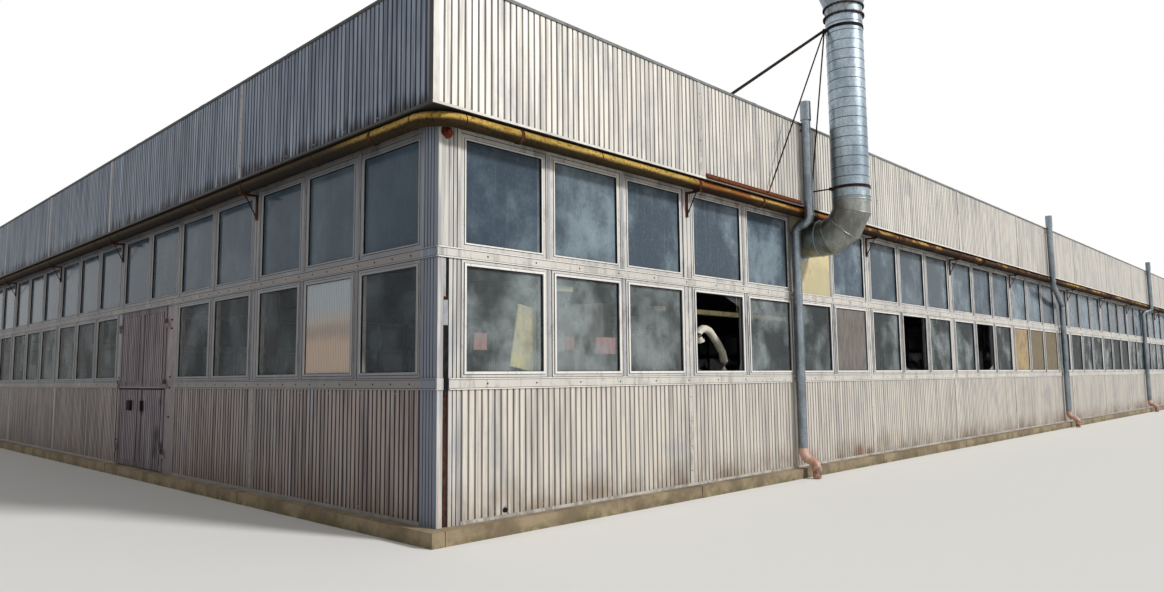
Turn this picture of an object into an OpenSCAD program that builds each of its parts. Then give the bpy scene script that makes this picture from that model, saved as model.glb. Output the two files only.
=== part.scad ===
// Single-storey factory hall with a ribbed aluminium skin, a double row of windows and a flat roof.
// Lengths are in millimetres. The origin is the middle of the floor plan at ground level.
// X runs along the long walls, Y along the end walls, and Z is up.
// A wall is drawn in its own frame: u along the wall, v inwards from its outer face, z up.

/* [Plan] */
// Width of one window module along every wall
module_w = 1200; // [1000:50:1300]
// Number of ten-module units along the long walls
long_units = 3; // [2:1:3]
// Number of ten-module units along the end walls
end_units = 2; // [1:1:3]

/* [Levels above the ground] */
// Top of the concrete plinth and of the floor
plinth_h = 130; // [80:5:300]
// Top of the ribbed dado sheets
dado_top = 1290; // [1000:10:1600]
// Height of the flat band under the windows
sill_h = 100; // [60:5:160]
// Outer height of a lower window
lower_win_h = 1055; // [800:5:1400]
// Height of the flat band between the two window rows
transom_h = 95; // [60:5:160]
// Outer height of an upper window
upper_win_h = 1060; // [800:5:1400]
// Height of the flat band over the upper windows
head_h = 125; // [80:5:300]
// Height of the ribbed fascia sheets
fascia_h = 1150; // [700:10:1600]
// Height of the sheet-metal coping on the fascia
coping_h = 32; // [20:2:80]

/* [Walls] */
// How far the plinth stands out from the wall face
plinth_out = 137; // [60:1:300]
// Thickness of the plinth beams
plinth_t = 320; // [200:10:500]
// Thickness of the dado wall behind its sheets
dado_wall_t = 150; // [100:5:300]
// How far the fascia stands out from the wall face
fascia_out = 224; // [120:2:400]
// How far the parapet wall reaches in from the wall face
parapet_in = 60; // [20:5:200]

/* [Ribbed sheets] */
// Ribs in one window module
ribs_per_module = 16; // [8:1:18]
// Depth of the grooves between the ribs
rib_depth = 16; // [10:1:30]
// Metal and backing behind the bottom of the ribs
sheet_back = 4; // [2:1:10]
// Width of the groove between two ribs
groove_w = 22; // [16:2:44]
// Width of the flat strip that covers a joint between sheets
strip_w = 70; // [50:5:120]
// Thickness of that strip
strip_t = 5; // [2:1:10]
// Height of the drip trim under the dado sheets
drip_h = 30; // [15:5:60]

/* [Windows] */
// Width of a post where two sheets meet
post_w = 160; // [100:5:240]
// Width of a mullion between two windows
mullion_w = 62; // [40:2:120]
// Depth of posts, mullions and bands
post_d = 90; // [60:5:150]
// Width of a window's frame members
frame_w = 58; // [35:1:90]
// Depth of a window's frame
frame_d = 46; // [30:1:80]
// How far a lower window's frame stands out from the posts
sash_out = 6; // [0:1:20]
// How far the sill and transom bands stand out from the posts
band_out = 10; // [0:1:30]
// Thickness of the glass
glass_t = 6; // [4:1:12]
// Width of the casing at each corner, on each face
casing_w = 248; // [180:4:320]

/* [Structure] */
// Side of the steel columns
column_w = 120; // [80:5:200]
// Flange and web thickness of the columns
column_t = 9; // [6:1:20]
// Depth of the steel roof beams
beam_h = 600; // [400:20:800]
// Width of the roof beams' flanges
beam_w = 220; // [150:10:300]
// Flange and web thickness of the roof beams
beam_t = 16; // [10:1:30]
// Thickness of the roof deck
deck_t = 120; // [60:10:250]

/* [Double door in the left wall] */
// Width of the flat hinge post beside the door's right leaf
door_post_w = 380; // [200:10:450]
// Thickness of a door leaf
leaf_t = 45; // [35:1:60]
// How far the leaves stand out from the wall face
leaf_out = 12; // [8:1:20]
// Gap round the leaves
leaf_gap = 6; // [5:1:10]
// Gap where the two leaves meet
leaf_meet = 8; // [6:1:12]
// Gap under the leaves
leaf_floor_gap = 15; // [8:1:30]
// Width of the leaves' frame members
leaf_frame = 70; // [40:5:100]
// Outer diameter of the hinge knuckles
knuckle_d = 24; // [18:1:32]
// Diameter of the hinge pins
pin_d = 12; // [8:1:16]
// Gap round a hinge pin in its knuckle
pin_gap = 0.5; // [0.3:0.1:1]
// Height of one knuckle
knuckle_h = 60; // [40:5:100]

/* [Gas pipe] */
// Outer diameter of the gas pipe under the fascia
gas_d = 133; // [100:1:160]
// Height of the gas pipe's centre line
gas_z = 3640; // [3500:5:3650]
// Distance of the gas pipe's centre line from the wall face
gas_out = 155; // [120:5:250]
// Radius of the gas pipe's bend at the corner
gas_bend = 300; // [200:10:500]

/* [Downpipes] */
// Outer diameter of the downpipes
rain_d = 125; // [80:5:160]
// How far the upper downpipe stands off the fascia
rain_gap = 25; // [10:5:80]
// Height of the upper downpipe above the coping
rain_top = 280; // [100:10:600]

/* [Ventilation duct] */
// Outer diameter of the duct
duct_d = 500; // [350:10:560]
// Thickness of the duct's sheet metal
duct_t = 4; // [2:1:10]
// Distance of the duct's axis from the middle of its window, towards the next one
duct_shift = -218; // [-230:2:-200]
// Distance of the vertical duct's axis from the wall face
duct_out = 755; // [700:5:900]
// Height of the duct's axis where it leaves the wall
duct_z = 3300; // [3200:5:3310]
// Radius of the elbow's centre line
elbow_r = 445; // [400:5:500]
// Height of the top of the straight duct
stack_top = 6375; // [5500:25:8000]
// Height of the flared head over the flange
head_cone_h = 300; // [150:10:500]

/* [Hidden] */

// Windows in each bay of one ten-module unit
unit_bays = [3, 4, 3];
unit_n = wall_modules(unit_bays);
long_w = long_units * unit_n * module_w;
end_w = end_units * unit_n * module_w;
long_bays = [for (i = [1:long_units]) for (n = unit_bays) n];
end_bays = [for (i = [1:end_units]) for (n = unit_bays) n];

// Levels
sill_z = dado_top;
lower_z = sill_z + sill_h;
transom_z = lower_z + lower_win_h;
upper_z = transom_z + transom_h;
head_z = upper_z + upper_win_h;
fascia_z = head_z + head_h;
fascia_top = fascia_z + fascia_h;
soffit_t = 12;
roof_z = fascia_z + soffit_t + beam_h;

pipe_facets = 48;
pin_facets = 32;
duct_facets = 72;
alu_colour = "#b9b6ae";
trim_colour = "#c9c6be";
steel_colour = "#6b4a3a";
glass_colour = "#7d97ad";
galvanised_colour = "#aab0b4";
concrete_colour = "#8f8a80";

// Sheets, trims and seats
sheet_t = rib_depth + sheet_back;
sheet_joint = 6;
drip_out = 8;
flashing_w = 60;
casing_pitch = 48;
casing_groove = 10;
// Rim of the near corner's column that its casing still covers
gap_rim = 20;
trim_out = 6;
trim_drop = 12;
coping_out = 10;
panel_t = 40;
seat_gap = 0.3;
// Room on each side of a window frame, of a pane and of the duct's panel
frame_fit = 0.3;
// Joint between pieces that butt at the corners
butt_gap = 0.5;
// Crack beside the broken end of the plinth
crack_w = 7;
wall_gap = 3;
column_in = sheet_t + dado_wall_t + wall_gap + column_w / 2;

// Door
door_cells = [5, 6];
door_start = door_cells[0] * module_w + door_post_w;
door_end = (door_cells[1] + 1) * module_w - post_w / 2;
door_middle = (door_start + door_end) / 2;
leaf_low = plinth_h + leaf_floor_gap;
leaf_h = transom_z - leaf_gap - leaf_low;
leaf_w = (door_end - door_start - 2 * leaf_gap - leaf_meet) / 2;
panel_set = 2;
hinge_stand = 5;
hinge_v = -leaf_out - knuckle_d / 2 - hinge_stand;
hinge_low = 180;
hinge_high = 300;
hinge_levels = [leaf_low + hinge_low, leaf_low + leaf_h / 2, leaf_low + leaf_h - hinge_high];
strap_reach = 60;
strap_set = 2;
lock_in = 330;
lock_w = 150;
lock_t = 35;
pull_in = 110;
pull_w = 40;
handle_z = 960;

// Pipes
missing_panes = [3, 8, 11];
duct_cell = 5;
duct_window = window_cells(long_bays)[duct_cell];
duct_u = duct_window[0] + duct_window[1] / 2 + duct_shift;
pipe_end = 500;
strap_w = 40;
strap_t = 6;
bracket_arm = 22;
bracket_leg = 300;
strut_d = 14;
hanger_shift = 1000;
rain_places = [5 * module_w, 14.9 * module_w, 25 * module_w];
// How far the lower part of each downpipe stands to the right of its upper part
rain_shifts = [0, 1.3 * module_w, -0.2 * module_w];
rain_slant = 76;
rain_low_out = 95;
rain_bend = 120;
rain_offset_drop = 120;
rain_socket_rim = 7;
rain_socket_d = rain_d + 2 * rain_socket_rim;
rain_socket_h = 44;
rain_sleeve_rim = 12;
rain_sleeve_rise = 15;
shoe_top = 400;
shoe_low = 10;
shoe_neck = 60;
shoe_out = 190;
shoe_d = 110;
shoe_bend = 90;
shoe_angle = 67;
shoe_socket_d = 125;
shoe_socket_h = 40;
clip_h = 30;
clip_t = 4;
rain_clip_drop = 90;

// Duct
gore_n = 4;
collar_h = 60;
stub_in = 150;
seam_pitch = 137;
seam_h = 3;
flange_t = 14;
flange_h = 150;
flange_rim = 31;
flange_d = duct_d + 2 * flange_rim;
head_rim_h = 260;
flare_angle = 20;
band_h = 40;
band_t = 6;
stay_d = 40;
stay_thin_d = 20;
// Places of the clamp bands below the flange and above the elbow
stay_drop = 170;
stay_low_rise = 130;
// Where the lugs stand round the duct, and how far each foot stands before the duct
stay_turn = 45;
stay_far = 1920;
stay_middle = 1340;
stay_near = 230;
lug_w = 30;
foot_w = 90;
foot_h = 30;
// Steel angle under the fascia
rail_w = 60;
rail_t = 8;
rail_reach = 2670;
rail_length = 2220;

// Index of the first module of bay i
function bay_start(bays, i) = i == 0 ? 0 : bay_start(bays, i - 1) + bays[i - 1];
function wall_modules(bays) = bay_start(bays, len(bays));
// Left and right limits of the windows of bay i
function bay_left(bays, i) = i == 0 ? casing_w : bay_start(bays, i) * module_w + post_w / 2;
function bay_right(bays, i) = i == len(bays) - 1
    ? wall_modules(bays) * module_w - casing_w
    : bay_start(bays, i + 1) * module_w - post_w / 2;
function window_pitch(bays, i) = (bay_right(bays, i) - bay_left(bays, i) + mullion_w) / bays[i];
// Every window place of a wall as [start, width, module number]
function window_cells(bays) = [
    for (i = [0:len(bays) - 1]) for (j = [0:bays[i] - 1])
        [bay_left(bays, i) + j * window_pitch(bays, i), window_pitch(bays, i) - mullion_w,
         bay_start(bays, i) + j]
];

// Spans of the sheets of a wall between two end limits, one for each bay
function sheet_spans(bays, first, last) = [
    for (i = [0:len(bays) - 1]) [
        i == 0 ? first : bay_start(bays, i) * module_w + sheet_joint / 2,
        i == len(bays) - 1 ? last : bay_start(bays, i + 1) * module_w - sheet_joint / 2
    ]
];
// Module lines that carry a column, and where the column stands
function bay_lines(bays) = [for (i = [0:len(bays)]) bay_start(bays, i)];
function column_place(m, length) = m == 0
    ? column_in
    : m * module_w == length ? length - column_in : m * module_w;

// Sheets of the left wall's dado, cut off at the door
function left_spans() = let (all = sheet_spans(end_bays, casing_w, end_w - casing_w)) [
    for (i = [0:len(all) - 1])
        [i == 2 ? door_end + post_w / 2 : all[i][0], i == 1 ? door_start - door_post_w : all[i][1]]
];

// The four walls, each moved from its own frame to its place
module on_front() translate([-long_w / 2, -end_w / 2, 0]) children();
module on_back() mirror([0, 1, 0]) on_front() children();
module on_left() translate([-long_w / 2, -end_w / 2, 0]) mirror([1, -1, 0]) children();
module on_right() mirror([1, 0, 0]) on_left() children();

// A block from its low corner to its high corner
module block(low, high) translate(low) cube(high - low);

// Ribbed sheet of width w and height h, crests at v = 0. A joined side keeps a flat land under its strip.
module ribbed_sheet(w, h, joined = [false, false]) {
    pitch = module_w / ribs_per_module;
    lands = [for (side = joined) side ? (strip_w - sheet_joint) / 2 + seat_gap : 0];
    n = floor((w - lands[0] - lands[1]) / pitch);
    spare = w - lands[0] - lands[1] - n * pitch;
    edge = lands[0] + (joined[0] == joined[1] ? spare / 2 : joined[0] ? 0 : spare);
    ribs = [for (i = [0:n - 1]) each [
        [edge + i * pitch, rib_depth], [edge + i * pitch + groove_w / 2, 0],
        [edge + (i + 1) * pitch - groove_w / 2, 0]
    ]];
    end = [[edge + n * pitch, rib_depth], [w, rib_depth], [w, sheet_t], [0, sheet_t], [0, rib_depth]];
    linear_extrude(h) polygon(concat(ribs, end));
}

// Ribbed sheets along a list of spans
module sheet_row(spans, z, h) {
    for (i = [0:len(spans) - 1]) translate([spans[i][0], 0, z])
        ribbed_sheet(spans[i][1] - spans[i][0], h, [i > 0, i < len(spans) - 1]);
}

// Flat strips over the joints between the bays of a wall, without one at left_out
module joint_strips(bays, z, h, left_out = -1) {
    for (i = [1:len(bays) - 1]) {
        u = bay_start(bays, i) * module_w;
        if (u != left_out) block([u - strip_w / 2, -strip_t, z], [u + strip_w / 2, rib_depth, z + h]);
    }
}

// A straight rod between two points
module rod(from, to, d) {
    way = to - from;
    length = norm(way);
    translate(from) rotate([0, acos(way[2] / length), atan2(way[1], way[0])])
        cylinder(h = length, d = d, $fn = pipe_facets);
}

// Part of a torus: a pipe bend that starts at the origin going up and turns towards +X
module pipe_bend(radius, d, angle) {
    translate([radius, 0, 0]) rotate([90, 0, 0]) mirror([1, 0, 0])
        rotate_extrude(angle = angle, $fn = pipe_facets)
            translate([radius, 0]) circle(d = d, $fn = pipe_facets);
}

// Steel I section lying in the XY plane, centred
module i_section(w, h, t) {
    polygon([
        [-w / 2, -h / 2], [w / 2, -h / 2], [w / 2, -h / 2 + t], [t / 2, -h / 2 + t],
        [t / 2, h / 2 - t], [w / 2, h / 2 - t], [w / 2, h / 2], [-w / 2, h / 2],
        [-w / 2, h / 2 - t], [-t / 2, h / 2 - t], [-t / 2, -h / 2 + t], [-w / 2, -h / 2 + t]
    ]);
}

// Concrete floor inside the plinth
module floor_slab() {
    inner = plinth_t - plinth_out;
    color(concrete_colour)
        block([-long_w / 2 + inner, -end_w / 2 + inner, 0],
              [long_w / 2 - inner, end_w / 2 - inner, plinth_h]);
}

// Concrete beams under the walls, with the end of one broken off at the near corner
module plinth() {
    inner = plinth_t - plinth_out;
    color(concrete_colour) {
        on_front() block([-plinth_out, -plinth_out, 0], [-crack_w, inner, plinth_h]);
        on_front() block([0, -plinth_out, 0], [long_w + plinth_out, inner, plinth_h]);
        on_back() block([-plinth_out, -plinth_out, 0], [long_w + plinth_out, inner, plinth_h]);
        for (side = [0, 1]) mirror([side, 0, 0]) on_left()
            block([inner + butt_gap, -plinth_out, 0], [end_w - inner - butt_gap, inner, plinth_h]);
    }
}

// Low walls that carry the windows
module dado_walls() {
    corner = sheet_t + column_w;
    side = sheet_t + dado_wall_t;
    end = side + butt_gap;
    color(concrete_colour) {
        on_front() block([corner, sheet_t, plinth_h], [long_w - corner, side, dado_top]);
        on_back() block([corner, sheet_t, plinth_h], [long_w - corner, side, dado_top]);
        on_right() block([end, sheet_t, plinth_h], [end_w - end, side, dado_top]);
        on_left() {
            block([end, sheet_t, plinth_h], [door_start - door_post_w, side, dado_top]);
            block([door_end + post_w / 2, sheet_t, plinth_h], [end_w - end, side, dado_top]);
        }
    }
}

// Upstand walls behind the fascia
module parapet_walls() {
    back = sheet_t - fascia_out;
    end = parapet_in + butt_gap;
    z = fascia_z + soffit_t;
    color("#77736a") {
        on_front() block([back, back, z], [long_w - back, parapet_in, fascia_top]);
        on_back() block([back, back, z], [long_w - back, parapet_in, fascia_top]);
        for (side = [0, 1]) mirror([side, 0, 0]) on_left()
            block([end, back, z], [end_w - end, parapet_in, fascia_top]);
    }
}

// Steel columns at the bay lines inside the walls, and one behind each corner casing
module steel_columns() {
    top = fascia_z + soffit_t;
    color(steel_colour) {
        for (side = [0, 1]) mirror([0, side, 0]) on_front()
            for (m = bay_lines(long_bays))
                translate([column_place(m, long_w), column_in, plinth_h])
                    linear_extrude(top - plinth_h) i_section(column_w, column_w, column_t);
        for (side = [0, 1]) mirror([side, 0, 0]) on_left()
            for (i = [1:len(end_bays) - 1])
                translate([bay_start(end_bays, i) * module_w, column_in, plinth_h])
                    linear_extrude(top - plinth_h) i_section(column_w, column_w, column_t);
        for (x = [0, 1], y = [0, 1]) mirror([x, 0, 0]) mirror([0, y, 0]) on_front()
            block([sheet_t, sheet_t, plinth_h], [sheet_t + column_w, sheet_t + column_w, fascia_z]);
    }
}

// Steel beams across the hall, one over each line of columns
module roof_beams() {
    color(steel_colour) on_front()
        for (m = bay_lines(long_bays))
            translate([column_place(m, long_w), end_w - parapet_in, fascia_z + soffit_t + beam_h / 2])
                rotate([90, 0, 0])
                    linear_extrude(end_w - 2 * parapet_in) i_section(beam_w, beam_h, beam_t);
}

// Flat roof deck between the parapet walls
module roof_deck() {
    color("#5f6163") on_front()
        block([parapet_in, parapet_in, roof_z], [long_w - parapet_in, end_w - parapet_in, roof_z + deck_t]);
}

// Ribbed sheets of a long wall's dado
module long_dado_sheets() {
    color(alu_colour)
        sheet_row(sheet_spans(long_bays, casing_w, long_w - casing_w),
                  plinth_h + drip_h, dado_top - plinth_h - drip_h);
}
module front_dado_sheets() on_front() long_dado_sheets();
module back_dado_sheets() on_back() long_dado_sheets();
module right_dado_sheets() on_right() color(alu_colour)
    sheet_row(sheet_spans(end_bays, casing_w, end_w - casing_w),
              plinth_h + drip_h, dado_top - plinth_h - drip_h);
module left_dado_sheets() on_left() color(alu_colour)
    sheet_row(left_spans(), plinth_h + drip_h, dado_top - plinth_h - drip_h);

// Ribbed sheets of a wall's fascia, drawn with their crests at the fascia's face
module fascia_row(bays, length) {
    reach = fascia_out - flashing_w;
    color(alu_colour) translate([0, -fascia_out, 0])
        sheet_row(sheet_spans(bays, -reach, length + reach),
                  fascia_z + soffit_t, fascia_h - soffit_t);
}
module front_fascia_sheets() on_front() fascia_row(long_bays, long_w);
module back_fascia_sheets() on_back() fascia_row(long_bays, long_w);
module left_fascia_sheets() on_left() fascia_row(end_bays, end_w);
module right_fascia_sheets() on_right() fascia_row(end_bays, end_w);

// Flat strips over the joints of the dado and of the fascia
module cover_strips() {
    z = plinth_h + drip_h;
    high = fascia_z + soffit_t;
    color(trim_colour) {
        on_front() joint_strips(long_bays, z, dado_top - z);
        on_back() joint_strips(long_bays, z, dado_top - z);
        on_right() joint_strips(end_bays, z, dado_top - z);
        on_left() joint_strips(end_bays, z, dado_top - z, door_end + post_w / 2);
        on_front() translate([0, -fascia_out, 0]) joint_strips(long_bays, high, fascia_top - high);
        on_back() translate([0, -fascia_out, 0]) joint_strips(long_bays, high, fascia_top - high);
        on_left() translate([0, -fascia_out, 0]) joint_strips(end_bays, high, fascia_top - high);
        on_right() translate([0, -fascia_out, 0]) joint_strips(end_bays, high, fascia_top - high);
    }
}

// Folded trims under the dado sheets
module drip_trims() {
    low = plinth_h;
    high = plinth_h + drip_h;
    color(trim_colour) {
        for (side = [0, 1]) mirror([0, side, 0]) on_front()
            block([casing_w, -drip_out, low], [long_w - casing_w, sheet_t, high]);
        on_right() block([casing_w, -drip_out, low], [end_w - casing_w, sheet_t, high]);
        on_left() {
            block([casing_w, -drip_out, low], [door_start - door_post_w, sheet_t, high]);
            block([door_end + post_w / 2, -drip_out, low], [end_w - casing_w, sheet_t, high]);
        }
    }
}

// Flat bands under, between and over the window rows
module window_bands() {
    color(trim_colour) {
        for (side = [0, 1]) mirror([0, side, 0]) on_front() band_rows(long_w);
        on_right() band_rows(end_w);
        on_left() {
            upper_bands(end_w);
            block([casing_w, -band_out, sill_z], [door_start - door_post_w, post_d, lower_z]);
            block([door_end + post_w / 2, -band_out, sill_z], [end_w - casing_w, post_d, lower_z]);
        }
    }
}
module upper_bands(length) {
    block([casing_w, -band_out, transom_z], [length - casing_w, post_d, upper_z]);
    block([casing_w, 0, head_z], [length - casing_w, post_d, fascia_z]);
}
module band_rows(length) {
    upper_bands(length);
    block([casing_w, -band_out, sill_z], [length - casing_w, post_d, lower_z]);
}

// Posts at the bay lines, mullions between the windows and infills at the corners
module window_posts() {
    color(trim_colour) {
        for (side = [0, 1]) mirror([0, side, 0]) on_front() wall_posts(long_bays, long_w, []);
        on_right() wall_posts(end_bays, end_w, []);
        on_left() wall_posts(end_bays, end_w, door_cells);
    }
}
module wall_posts(bays, length, left_out) {
    for (i = [1:len(bays) - 1]) {
        u = bay_start(bays, i) * module_w;
        block([u - post_w / 2, 0, lower_z], [u + post_w / 2, post_d, transom_z]);
        block([u - post_w / 2, 0, upper_z], [u + post_w / 2, post_d, head_z]);
    }
    cells = window_cells(bays);
    for (i = [0:len(cells) - 2]) {
        u = cells[i][0] + cells[i][1];
        between = cells[i + 1][0] - u < post_w / 2;
        if (between) {
            block([u, 0, upper_z], [u + mullion_w, post_d, head_z]);
            if (len(search(cells[i][2], left_out)) == 0 && len(search(cells[i + 1][2], left_out)) == 0)
                block([u, 0, lower_z], [u + mullion_w, post_d, transom_z]);
        }
    }
    for (u = [sheet_t + column_w, length - casing_w])
        block([u, sheet_t, dado_top], [u + casing_w - sheet_t - column_w, post_d, fascia_z]);
}

// A window frame of outer size w by h
module window_frame(w, h) {
    difference() {
        cube([w, frame_d, h]);
        translate([frame_w, -1, frame_w]) cube([w - 2 * frame_w, frame_d + 2, h - 2 * frame_w]);
    }
}

// Both rows of frames of a wall, without the places that are named as left out
module frame_rows(bays, no_lower, no_upper) {
    for (cell = window_cells(bays)) {
        u = cell[0] + frame_fit;
        w = cell[1] - 2 * frame_fit;
        if (len(search(cell[2], no_lower)) == 0)
            translate([u, -sash_out, lower_z]) window_frame(w, lower_win_h);
        if (len(search(cell[2], no_upper)) == 0)
            translate([u, sash_out, upper_z]) window_frame(w, upper_win_h);
    }
}
module front_window_frames() color(trim_colour) on_front() frame_rows(long_bays, [], [duct_cell]);
module left_window_frames() color(trim_colour) on_left() frame_rows(end_bays, door_cells, []);
module back_window_frames() color(trim_colour) on_back() frame_rows(long_bays, [], []);
module right_window_frames() color(trim_colour) on_right() frame_rows(end_bays, [], []);

// Panes of both rows, each inside its frame
module glass_rows(bays, no_lower, no_upper) {
    for (cell = window_cells(bays)) {
        u = cell[0] + frame_w + 2 * frame_fit;
        w = cell[1] - 2 * frame_w - 4 * frame_fit;
        if (len(search(cell[2], no_lower)) == 0)
            translate([u, frame_d / 2 - sash_out, lower_z + frame_w])
                cube([w, glass_t, lower_win_h - 2 * frame_w]);
        if (len(search(cell[2], no_upper)) == 0)
            translate([u, frame_d / 2 + sash_out, upper_z + frame_w])
                cube([w, glass_t, upper_win_h - 2 * frame_w]);
    }
}
module front_glass() color(glass_colour) on_front() glass_rows(long_bays, missing_panes, [duct_cell]);
module left_glass() color(glass_colour) on_left() glass_rows(end_bays, door_cells, []);
module back_glass() color(glass_colour) on_back() glass_rows(long_bays, [], []);
module right_glass() color(glass_colour) on_right() glass_rows(end_bays, [], []);

// Grooved casings round each corner, with flat bands at the sill and the transom.
// The near corner has lost a strip below the transom, so its column shows.
module corner_casings() {
    color(alu_colour)
        for (x = [0, 1], y = [0, 1]) mirror([x, 0, 0]) mirror([0, y, 0]) on_front()
            corner_casing(x == 0 && y == 0);
}
// Outline of a grooved strip from a to b, as thick as the sheets
module grooved_strip(a, b) {
    n = max(1, round((b - a) / casing_pitch));
    pitch = (b - a) / n;
    grooves = [for (i = [1:n - 1]) each [
        [a + i * pitch - casing_groove / 2, 0], [a + i * pitch, casing_groove],
        [a + i * pitch + casing_groove / 2, 0]
    ]];
    polygon(concat([[a, 0]], n > 1 ? grooves : [], [[b, 0], [b, sheet_t], [a, sheet_t]]));
}
module corner_casing(open) {
    h = fascia_z - plinth_h;
    gap = [sheet_t + column_w / 3, sheet_t + column_w - gap_rim];
    translate([0, 0, plinth_h]) linear_extrude(h) grooved_strip(0, gap[0]);
    translate([0, 0, plinth_h]) linear_extrude(h) grooved_strip(gap[1], casing_w);
    translate([0, 0, plinth_h]) linear_extrude(h) mirror([1, -1, 0]) grooved_strip(sheet_t, casing_w);
    strip_start = open ? transom_z : plinth_h;
    block([gap[0], casing_groove / 2, strip_start], [gap[1], sheet_t, fascia_z]);
    casing_band(transom_z, upper_z, casing_w);
    casing_band(sill_z, lower_z, open ? gap[0] : casing_w);
    if (open) block([gap[1], -band_out, sill_z], [casing_w, 0, lower_z]);
}
// Flat band round a corner, from low to high, that reaches to end on the long wall
module casing_band(low, high, end) {
    block([-band_out, -band_out, low], [end, 0, high]);
    block([-band_out, 0, low], [0, casing_w, high]);
}

// Flat soffits under the part of the fascia that oversails the walls
module soffits() {
    back = sheet_t - fascia_out;
    end = parapet_in + butt_gap;
    color("#55524c") {
        for (side = [0, 1]) mirror([0, side, 0]) on_front()
            block([back, back, fascia_z], [long_w - back, parapet_in, fascia_z + soffit_t]);
        for (side = [0, 1]) mirror([side, 0, 0]) on_left()
            block([end, back, fascia_z], [end_w - end, parapet_in, fascia_z + soffit_t]);
    }
}

// Angle trims at the fascia's lower edge and flashings at its corners
module fascia_trims() {
    back = sheet_t - fascia_out;
    face = -fascia_out - trim_out;
    low = fascia_z + soffit_t + butt_gap;
    color("#dad8d2") {
        for (side = [0, 1]) mirror([0, side, 0]) on_front()
            block([face, face, fascia_z - trim_drop], [long_w - face, back, fascia_z + soffit_t]);
        for (side = [0, 1]) mirror([side, 0, 0]) on_left()
            block([back + butt_gap, face, fascia_z - trim_drop],
                  [end_w - back - butt_gap, back, fascia_z + soffit_t]);
        for (x = [0, 1], y = [0, 1]) mirror([x, 0, 0]) mirror([0, y, 0]) on_front() {
            block([-fascia_out, -fascia_out, low], [flashing_w - fascia_out, back, fascia_top]);
            block([-fascia_out, back, low], [back, flashing_w - fascia_out, fascia_top]);
        }
    }
}

// Sheet-metal copings on the parapet
module copings() {
    face = -fascia_out - coping_out;
    inner = parapet_in + coping_out;
    color("#8d8f8e") {
        for (side = [0, 1]) mirror([0, side, 0]) on_front()
            block([face, face, fascia_top], [long_w - face, inner, fascia_top + coping_h]);
        for (side = [0, 1]) mirror([side, 0, 0]) on_left()
            block([inner + butt_gap, face, fascia_top],
                  [end_w - inner - butt_gap, inner, fascia_top + coping_h]);
    }
}

// Gas pipe under the fascia along the front and left walls, with a bend at the corner
module gas_pipe() {
    start = gas_bend - gas_out;
    color("#b98a2e") {
        on_front() translate([start, -gas_out, gas_z]) rotate([0, 90, 0])
            cylinder(h = long_w - start - pipe_end, d = gas_d, $fn = pipe_facets);
        on_left() translate([start, -gas_out, gas_z]) rotate([0, 90, 0])
            cylinder(h = end_w - start - pipe_end, d = gas_d, $fn = pipe_facets);
        on_front() translate([start, start, gas_z]) rotate([0, 0, 180])
            rotate_extrude(angle = 90, $fn = pipe_facets) translate([gas_bend, 0])
                circle(d = gas_d, $fn = pipe_facets);
    }
}

// Brackets that carry the gas pipe at the bay lines, and hangers between them
module pipe_brackets() {
    color("#6e4328") {
        on_front() bracket_row(long_bays);
        on_left() bracket_row(end_bays);
    }
}
module bracket_row(bays) {
    for (i = [1:len(bays) - 1]) translate([bay_start(bays, i) * module_w, 0, 0]) pipe_bracket();
    for (i = [0:len(bays) - 1])
        translate([(bay_start(bays, i) + bays[i] / 2) * module_w - hanger_shift, 0, 0]) pipe_hanger();
}
// Strap round the gas pipe
module pipe_strap() {
    translate([strap_w / 2, -gas_out, gas_z]) rotate([0, -90, 0]) difference() {
        cylinder(h = strap_w, d = gas_d + 2 * seat_gap + 2 * strap_t, $fn = pipe_facets);
        translate([0, 0, -1]) cylinder(h = strap_w + 2, d = gas_d + 2 * seat_gap, $fn = pipe_facets);
    }
}
// Strap on an arm with a leg against the wall and a strut between them
module pipe_bracket() {
    arm_top = gas_z - gas_d / 2 - seat_gap;
    leg_low = arm_top - bracket_leg;
    block([-strap_w / 2, -gas_out - gas_d / 2, arm_top - bracket_arm], [strap_w / 2, 0, arm_top]);
    block([-strap_w / 2, -strap_t - band_out, leg_low], [strap_w / 2, 0, arm_top]);
    rod([0, -gas_out, arm_top - bracket_arm / 2], [0, -strap_t, leg_low + strut_d], strut_d);
    pipe_strap();
}
// Strap that hangs from the soffit by a short block
module pipe_hanger() {
    block([-strap_w / 2, -gas_out - strap_t, gas_z + gas_d / 2 + seat_gap],
          [strap_w / 2, -gas_out + strap_t, fascia_z]);
    pipe_strap();
}

// Rainwater downpipes on the front wall, each with clips that hold it
module downpipes() {
    color(galvanised_colour) on_front()
        for (i = [0:len(rain_places) - 1]) translate([rain_places[i], 0, 0]) downpipe(rain_shifts[i]);
}
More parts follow.
